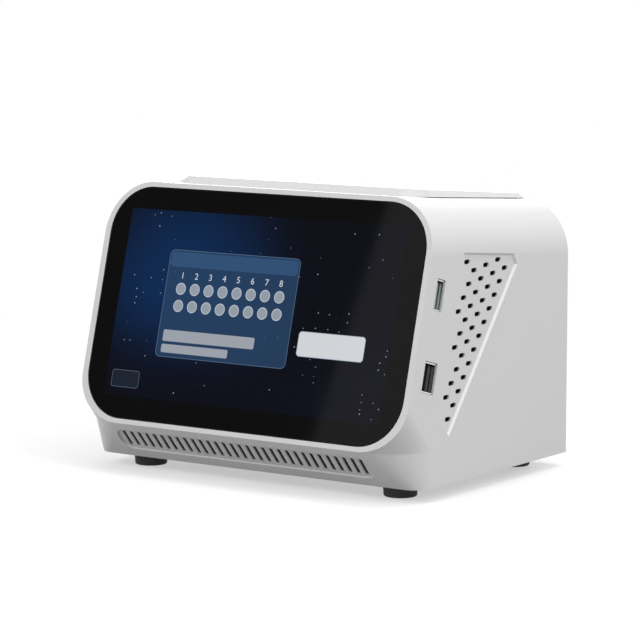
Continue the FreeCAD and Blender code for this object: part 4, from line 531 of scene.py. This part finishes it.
finishes = {
    # the shell carries painted shade down its holes
    "shell": mouldedPlastic("warmWhiteShell", (0.66, 0.655, 0.66), coat=0.08, painted=True),
    "lid": mouldedPlastic("glossWhiteLid", (0.52, 0.52, 0.52), (0.28, 0.36), coat=0.04,
                          Specular_IOR_Level=0.3),
    "grey": mouldedPlastic("satinGreyPlastic", (0.36, 0.36, 0.365), (0.42, 0.52), 0.1),
    "black": mouldedPlastic("blackPlastic", (0.018, 0.018, 0.019), (0.4, 0.52), 0.12,
                            shade=0.8, dust=0.02),
    "ceramic": mouldedPlastic("whiteCeramic", (0.74, 0.73, 0.70), (0.5, 0.6)),
    "nylon": mouldedPlastic("whiteNylon", (0.66, 0.65, 0.60), (0.45, 0.55)),
    "rubber": mouldedPlastic("footRubber", (0.045, 0.045, 0.046), (0.62, 0.8), 0.3,
                             shade=0.7, fineness=700.0, dust=0.05),
    "silicone": mouldedPlastic("blockSilicone", (0.16, 0.16, 0.17), (0.55, 0.7), 0.1),
    "fibre": mouldedPlastic("blackFibre", (0.03, 0.03, 0.03), (0.7, 0.85), 0.3),
    "chip": mouldedPlastic("chipResin", (0.016, 0.016, 0.017), (0.5, 0.6), 0.15),
    "insert": mouldedPlastic("paleGreenInsert", (0.36, 0.42, 0.40), (0.3, 0.42)),
    "display": mouldedPlastic("displayFilm", (0.02, 0.03, 0.06), (0.2, 0.3)),
    "lens": mouldedPlastic("coatedLens", (0.05, 0.09, 0.22), (0.03, 0.06), 0.01, coat=1.0),
    "steel": workedMetal("rolledSteel", (0.56, 0.57, 0.58), (0.3, 0.42), (60.0, 60.0, 1800.0)),
    "bright": workedMetal("platedSteel", (0.74, 0.74, 0.76), (0.12, 0.22),
                          (1600.0, 60.0, 1600.0), 0.03),
    "aluminium": workedMetal("milledAluminium", (0.80, 0.80, 0.81), (0.26, 0.38)),
    # black anodised metal, which also stands for painted shade in the screws' cross recesses
    "anodisedAndRecessShade": workedMetal("blackAnodisedAndRecessShade", (0.07, 0.07, 0.075), (0.35, 0.5)),
    "brass": workedMetal("turnedBrass", (0.70, 0.52, 0.24), (0.2, 0.3)),
    "board": circuitBoard("solderMask"),
    "glass": touchGlass("touchGlass"),
}
dressed = {
    "shell": "housing_shell rear_panel",
    "lid": "lid_cover",
    "grey": "base_plate bay_liner lid_inner_cover hinge_lugs",
    "black": "fan_frame fan_rotor power_inlet power_rocker switch_frame usb_tongue",
    "ceramic": "peltier_coolers",
    "nylon": "board_connectors",
    "rubber": "rubber_feet",
    "silicone": "block_seal",
    "fibre": "glass_tape display_spacers",
    "chip": "board_chips",
    "insert": "video_tongue",
    "display": "lcd_panel",
    "lens": "optics_lens",
    "steel": "base_screws board_screws clamp_screws display_screws fan_screws foot_screws"
             " frame_screws liner_screws motor_screws panel_screws sink_screws foot_nuts"
             " frame_nuts display_bracket left_frame right_frame power_supply stepper_motor",
    "bright": "guide_pins hinge_pin lead_screw plate_springs rail_rods usb_shell video_shell",
    "aluminium": "heat_sink optics_plate sample_block",
    "anodisedAndRecessShade": "heated_plate optics_carriage",
    "brass": "board_spacers inlet_blades screw_bearing",
    "board": "main_board port_board supply_board",
    "glass": "touch_glass",
}
finishOf = {name: finish for finish, words in dressed.items() for name in words.split()}
for nodeName, node in nodes.items():
    node.data.materials.clear()
    node.data.materials.append(finishes[finishOf[nodeName]])
print("materials on", len(nodes), "nodes")


# what the pieces are made with
def placed(name, mesh):
    piece = bpy.data.objects.new(name, mesh)
    scene.collection.objects.link(piece)
    return piece


# Merges a mesh's doubles, joins faces that lie flat to each other, or turns its faces outwards.
def mended(mesh, merge=0.0, flatWithin=0.0, outwards=False):
    shape = bmesh.new()
    shape.from_mesh(mesh)
    if merge:
        bmesh.ops.remove_doubles(shape, verts=shape.verts, dist=merge)
    if flatWithin:
        bmesh.ops.dissolve_limit(shape, angle_limit=math.radians(flatWithin),
                                 verts=shape.verts, edges=shape.edges)
    if outwards:
        bmesh.ops.recalc_face_normals(shape, faces=shape.faces)
    shape.to_mesh(mesh)
    shape.free()


def vertexPlaces(mesh):
    points = np.empty(len(mesh.vertices) * 3)
    mesh.vertices.foreach_get("co", points)
    return points.reshape(-1, 3)


nodeMerge = 2e-6    # joins the loose triangles of a node's mesh
rounding = {
    "segments": 3,
    "sharp": 28.0,         # edges that turn by more than this many degrees are rounded
    "flatWithin": 0.6,
    "widths": {
        "housing_shell": 0.0009, "lid_cover": 0.0008, "rubber_feet": 0.0006,
        "power_inlet": 0.0004, "switch_frame": 0.0004, "power_rocker": 0.0004,
        "rear_panel": 0.0003, "bay_liner": 0.0005, "base_plate": 0.0004, "touch_glass": 0.0004,
    },
}


# A merged copy of a moulded node's mesh with every sharp edge rounded, standing for the node.
def softened(nodeName, width):
    mesh = nodes[nodeName].data.copy()
    mended(mesh, merge=nodeMerge, flatWithin=rounding["flatWithin"])
    sharp = math.radians(rounding["sharp"])
    mesh.shade_smooth()
    mesh.set_sharp_from_angle(angle=sharp)
    piece = placed(nodeName + "_moulded", mesh)
    bevel = piece.modifiers.new("roundedEdges", "BEVEL")
    bevel.width = width
    bevel.segments = rounding["segments"]
    bevel.limit_method = "ANGLE"
    bevel.angle_limit = sharp
    bevel.miter_outer = "MITER_ARC"
    bevel.use_clamp_overlap = True
    normals = piece.modifiers.new("evenNormals", "WEIGHTED_NORMAL")
    normals.keep_sharp = False
    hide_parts(nodeName)
    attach(piece, homes[nodeName])


for nodeName, width in rounding["widths"].items():
    softened(nodeName, width)
print("softened", len(rounding["widths"]), "moulded pieces")


drives = {
    "arm": 0.0015,         # from the middle of the cross to an arm's end
    "half": 0.00034,       # half an arm's width
    "depth": 0.0009,
    "over": 0.0006,        # how far the cutter stands out of the head
    "slack": 0.0001,       # a face this little below the top still belongs to it
    "outward": {
        "panel_screws": (0, 1, 0), "fan_screws": (0, 1, 0),
        "base_screws": (0, 0, -1), "foot_screws": (0, 0, -1),
    },
}


# The middle of each screw's head, at its top. A screw is an island of joined vertices: each
# vertex takes the lowest number among its neighbours until nothing changes.
def headTops(mesh, outward):
    ends = np.empty(len(mesh.edges) * 2, np.int32)
    mesh.edges.foreach_get("vertices", ends)
    ends = ends.reshape(-1, 2)
    island, before = np.arange(len(mesh.vertices)), None
    while before is None or (island != before).any():
        before = island.copy()
        lowest = before[ends].min(axis=1)
        np.minimum.at(island, ends[:, 0], lowest)
        np.minimum.at(island, ends[:, 1], lowest)
    places, tops = vertexPlaces(mesh), []
    for number in np.unique(island):
        points = places[island == number]
        middle = (points.min(axis=0) + points.max(axis=0)) / 2
        tops.append(middle + outward * ((points @ outward).max() - middle @ outward))
    return np.array(tops)


# Plus-shaped prisms, one over each top: the outline (a, b) stands on X and on outward cross X,
# and is carried from the recess's floor to over the head.
def crossCutters(name, tops, outward):
    arm, half = drives["arm"], drives["half"]
    outline = [
        (half, half), (half, arm), (-half, arm), (-half, half), (-arm, half), (-arm, -half),
        (-half, -half), (-half, -arm), (half, -arm), (half, -half), (arm, -half), (arm, half),
    ]
    across = np.cross(outward, acrossGlass)
    plus = np.array([a * acrossGlass + b * across for a, b in outline])
    prism = np.concatenate([plus - outward * drives["depth"], plus + outward * drives["over"]])
    count = len(outline)
    faces = [tuple(reversed(range(count))), tuple(range(count, 2 * count))]
    faces += [(n, (n + 1) % count, (n + 1) % count + count, n + count) for n in range(count)]
    starts = range(0, len(tops) * len(prism), len(prism))
    mesh = bpy.data.meshes.new(name)
    mesh.from_pydata(
        np.concatenate([prism + top for top in tops]).tolist(), [],
        [tuple(corner + start for corner in face) for start in starts for face in faces])
    mended(mesh, outwards=True)
    return placed(name, mesh)


# Cross recesses in the screw heads that show, with painted shade on the faces inside them.
def crossHeads(nodeName, facing):
    outward = np.array(facing, float)
    mesh = nodes[nodeName].data.copy()
    mended(mesh, merge=nodeMerge)
    tops = headTops(mesh, outward)
    cutter = crossCutters(nodeName + "_crosses", tops, outward)
    piece = placed(nodeName + "_driven", mesh)
    cut = piece.modifiers.new("crosses", "BOOLEAN")
    cut.operation, cut.solver, cut.object = "DIFFERENCE", "EXACT", cutter
    bpy.context.view_layer.update()
    shaped = piece.evaluated_get(bpy.context.evaluated_depsgraph_get())
    piece.data = bpy.data.meshes.new_from_object(shaped)
    piece.modifiers.clear()
    bpy.data.objects.remove(cutter)
    piece.data.shade_flat()
    middles = np.empty(len(piece.data.polygons) * 3)
    piece.data.polygons.foreach_get("center", middles)
    away = middles.reshape(1, -1, 3) - tops[:, None, :]
    below = -(away @ outward)
    aside = np.linalg.norm(away + below[..., None] * outward, axis=-1)
    slack = drives["slack"]
    deep = (below > slack) & (below < drives["depth"] + slack)
    recessShade = (deep & (aside < drives["arm"] + slack / 2)).any(axis=0)
    # the recess faces take the black anodised finish as painted shade
    piece.data.materials.append(finishes["anodisedAndRecessShade"])
    piece.data.polygons.foreach_set("material_index", recessShade.astype(np.int32))
    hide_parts(nodeName)
    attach(piece, homes[nodeName])


for nodeName, facing in drives["outward"].items():
    crossHeads(nodeName, facing)
print("cross recesses cut in", len(drives["outward"]), "sets of screws")


coils = {
    "turns": 4.5,
    "wire": 0.00035,       # radius of the wire
    "radius": 0.0023,      # of the coil, to the wire's middle
    "around": 8,           # points round the wire
    "perTurn": 28,
    "fade": 60,            # the ends thin out over one part in this many of the length
    "merge": 1e-7,
}


# Coil springs behind the heated plate: a wire circle carried along a helix of even pitch,
# (r cos a, r sin a, rise), whose thickness runs out to nothing at both ends.
def plateSprings():
    low, high = (np.array(corner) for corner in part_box("plate_springs"))
    height, radius, wire = high[2] - low[2], coils["radius"], coils["wire"]
    along = np.linspace(0, 1, int(coils["turns"] * coils["perTurn"]) + 1)[:, None]
    turn = 2 * np.pi * coils["turns"] * along
    ring = np.linspace(0, 2 * np.pi, coils["around"], endpoint=False)[None, :]
    thick = wire * np.minimum(1, np.minimum(along, 1 - along) * coils["fade"])
    reach = radius + thick * np.cos(ring)
    rise = wire + (height - 2 * wire) * along + thick * np.sin(ring)
    coil = np.stack([reach * np.cos(turn), reach * np.sin(turn), rise], axis=-1).reshape(-1, 3)
    index = np.arange(len(coil)).reshape(-1, coils["around"])
    ahead = np.roll(index, -1, axis=1)
    quads = np.stack([index[:-1], ahead[:-1], ahead[1:], index[1:]], axis=-1).reshape(-1, 4)
    margin = radius + wire
    corners = [(low[0] + margin, high[0] - margin), (low[1] + margin, high[1] - margin)]
    feet = [(x, y, low[2]) for x in corners[0] for y in corners[1]]
    points = np.concatenate([coil + foot for foot in feet])
    faces = np.concatenate([quads + n * len(coil) for n in range(len(feet))])
    mesh = bpy.data.meshes.new("plateSprings")
    mesh.from_pydata(points.tolist(), [], faces.tolist())
    mended(mesh, merge=coils["merge"], outwards=True)
    mesh.shade_smooth()
    mesh.materials.append(finishes["bright"])
    piece = placed("plateSprings", mesh)
    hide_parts("plate_springs")
    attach(piece, homes["plate_springs"])
    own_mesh(piece)


plateSprings()
print("plate springs wound")


# millimetres, as on the page
numbers = {
    "size": 4.2,
    "above": 4.8,          # from the upper wells' middles to the numbers' feet
    "proud": 0.04,         # off the glass
    "tones": ((0.60, 0.66, 0.74), (0.72, 0.78, 0.86)),
    "ground": (0.01, 0.01, 0.01, 1.0),
    "cloud": 400.0,
}


def numberInk():
    ink, tree, shader, position = startMaterial("screenInk", Roughness=0.05,
                                                Specular_IOR_Level=0.1)
    cloud = useGroup(tree, skinGrain, Position=position, Cloud_Size=numbers["cloud"])["Cloud"]
    feed(tree, shader["Emission Color"], mixColours(tree, cloud, *numbers["tones"]))
    shader["Base Color"].default_value = numbers["ground"]
    shader["Emission Strength"].default_value = page["strength"]
    return ink


# A number's flat mesh, as points in the plane of the glass and faces.
def numberShape(number):
    curve = bpy.data.curves.new(f"numeral{number}", "FONT")
    curve.body = str(number)
    curve.size = numbers["size"] * millimetre
    curve.align_x = "CENTER"
    maker = placed(curve.name, curve)
    bpy.context.view_layer.update()
    flat = bpy.data.meshes.new_from_object(maker)
    faces = [tuple(face.vertices) for face in flat.polygons]
    bpy.data.objects.remove(maker)
    bpy.data.curves.remove(curve)
    return vertexPlaces(flat), faces


# Plain numbers over the wells' columns. A point (x, y, z) of the glass stands at
# centre + x across + y up + z out.
def screenNumbers():
    wells = page["wells"]
    firstX, upperY = wells["first"]
    directions = np.array([acrossGlass, upGlass, outOfGlass])
    points, faces, start = [], [], 0
    for n in range(wells["columns"]):
        flat, corners = numberShape(n + 1)
        foot = (firstX + n * wells["pitch"], upperY + numbers["above"], numbers["proud"])
        points.append((flat + np.array(foot) * millimetre) @ directions + screen["centre"])
        faces += [tuple(corner + start for corner in face) for face in corners]
        start += len(flat)
    mesh = bpy.data.meshes.new("screenNumbers")
    mesh.from_pydata(np.concatenate(points).tolist(), [], faces)
    mesh.materials.append(numberInk())
    piece = placed("screenNumbers", mesh)
    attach(piece, homes["touch_glass"])


screenNumbers()
print("screen numbers set")


# floor and light
studio = {
    "floor": (0.93, 0.93, 0.935),         # as the camera sees it
    "bounce": (0.25, 0.25, 0.25),         # as it lights the case
    "floorHalf": 4.0,
    "floorDrop": 0.0001,                  # keeps it clear of the feet's undersides
    "haze": 0.5,                          # how much white already shows beside the case
    "fade": (0.15, 0.6),                  # where the floor has faded into the backdrop, m
    "fill": 0.36,                         # the world's strength as it lights the case
    "aim": (0, 0, 0.06),
    "key": (-0.5, -1.5, 1.1, 0.9, 15.5),  # a lamp's place, width and power
    "top": (0.35, 0.15, 1.5, 1.2, 14.0),
    "side": (1.5, -0.3, 1.0, 0.9, 14.5),
    "back": (-0.9, 1.7, 0.4, 0.9, 7.0),
    "flag": (-2.6, -1.008, -1.5, 1.7),    # left and right edge, Y and height
    "flagTones": ((0.1, 0.1, 0.1), (0.2, 0.2, 0.2)),
    "flagWeave": 300.0,
}


def stagedSheet(name, corners, material):
    mesh = bpy.data.meshes.new(name)
    mesh.from_pydata(corners, [], [(0, 1, 2, 3)])
    mesh.materials.append(material)
    sheet = placed(name, mesh)
    return sheet


def buildFloor():
    material, tree, shader, position = startMaterial("paleFloor", Roughness=0.6,
                                                     Specular_IOR_Level=0.1)
    seen = seenDirectly(tree)
    feed(tree, shader["Base Color"], mixColours(tree, seen, studio["bounce"], studio["floor"]))
    away = addNode(tree, "ShaderNodeVectorMath", {"operation": "LENGTH"}, i0=position)
    faded = ramp(tree, away.outputs["Value"], *studio["fade"], start=studio["haze"])
    white = addNode(tree, "ShaderNodeEmission", Strength=1.0).outputs[0]
    surface = tree.nodes["Principled BSDF"].outputs[0]
    blended = addNode(tree, "ShaderNodeMixShader", i0=times(tree, faded, seen),
                      i1=surface, i2=white).outputs[0]
    feed(tree, tree.nodes["Material Output"].inputs["Surface"], blended)
    half, z = studio["floorHalf"], -studio["floorDrop"]
    corners = [(-half, -half, z), (half, -half, z), (half, half, z), (-half, half, z)]
    stagedSheet("studioFloor", corners, material)


# A black card that only reflections see: the left of the glass stays darker than the right.
def buildFlag():
    material, tree, shader, position = startMaterial("flagCloth", Roughness=0.9,
                                                     Specular_IOR_Level=0.05)
    weave = useGroup(tree, skinGrain, Position=position, Fineness=studio["flagWeave"])["Height"]
    feed(tree, shader["Base Color"], mixColours(tree, weave, *studio["flagTones"]))
    left, right, y, height = studio["flag"]
    corners = [(left, y, 0), (right, y, 0), (right, y, height), (left, y, height)]
    flag = stagedSheet("blackFlag", corners, material)
    flag.visible_camera = flag.visible_diffuse = False
    flag.visible_transmission = flag.visible_shadow = False


def buildLight(name, x, y, z, width, power):
    lamp = bpy.data.lights.new(name, "AREA")
    lamp.shape = "SQUARE"
    lamp.size = width
    lamp.energy = power
    holder = bpy.data.objects.new(name, lamp)
    holder.location = (x, y, z)
    aim = Vector(studio["aim"]) - holder.location
    holder.rotation_euler = aim.to_track_quat("-Z", "Y").to_euler()
    holder.visible_glossy = name != "key"  # the glass would mirror it
    scene.collection.objects.link(holder)


def buildWorld():
    world = bpy.data.worlds.new("studio")
    scene.world = world
    world.use_nodes = True
    tree = world.node_tree
    backdrop = tree.nodes["Background"].inputs
    feed(tree, backdrop["Strength"], spread(tree, seenDirectly(tree), studio["fill"], 1.0))
    backdrop["Color"].default_value = (1, 1, 1, 1)


buildFloor()
buildFlag()
for lampName in ("key", "top", "side", "back"):
    buildLight(lampName, *studio[lampName])
buildWorld()
scene.view_settings.view_transform = "Standard"
print("studio ready")
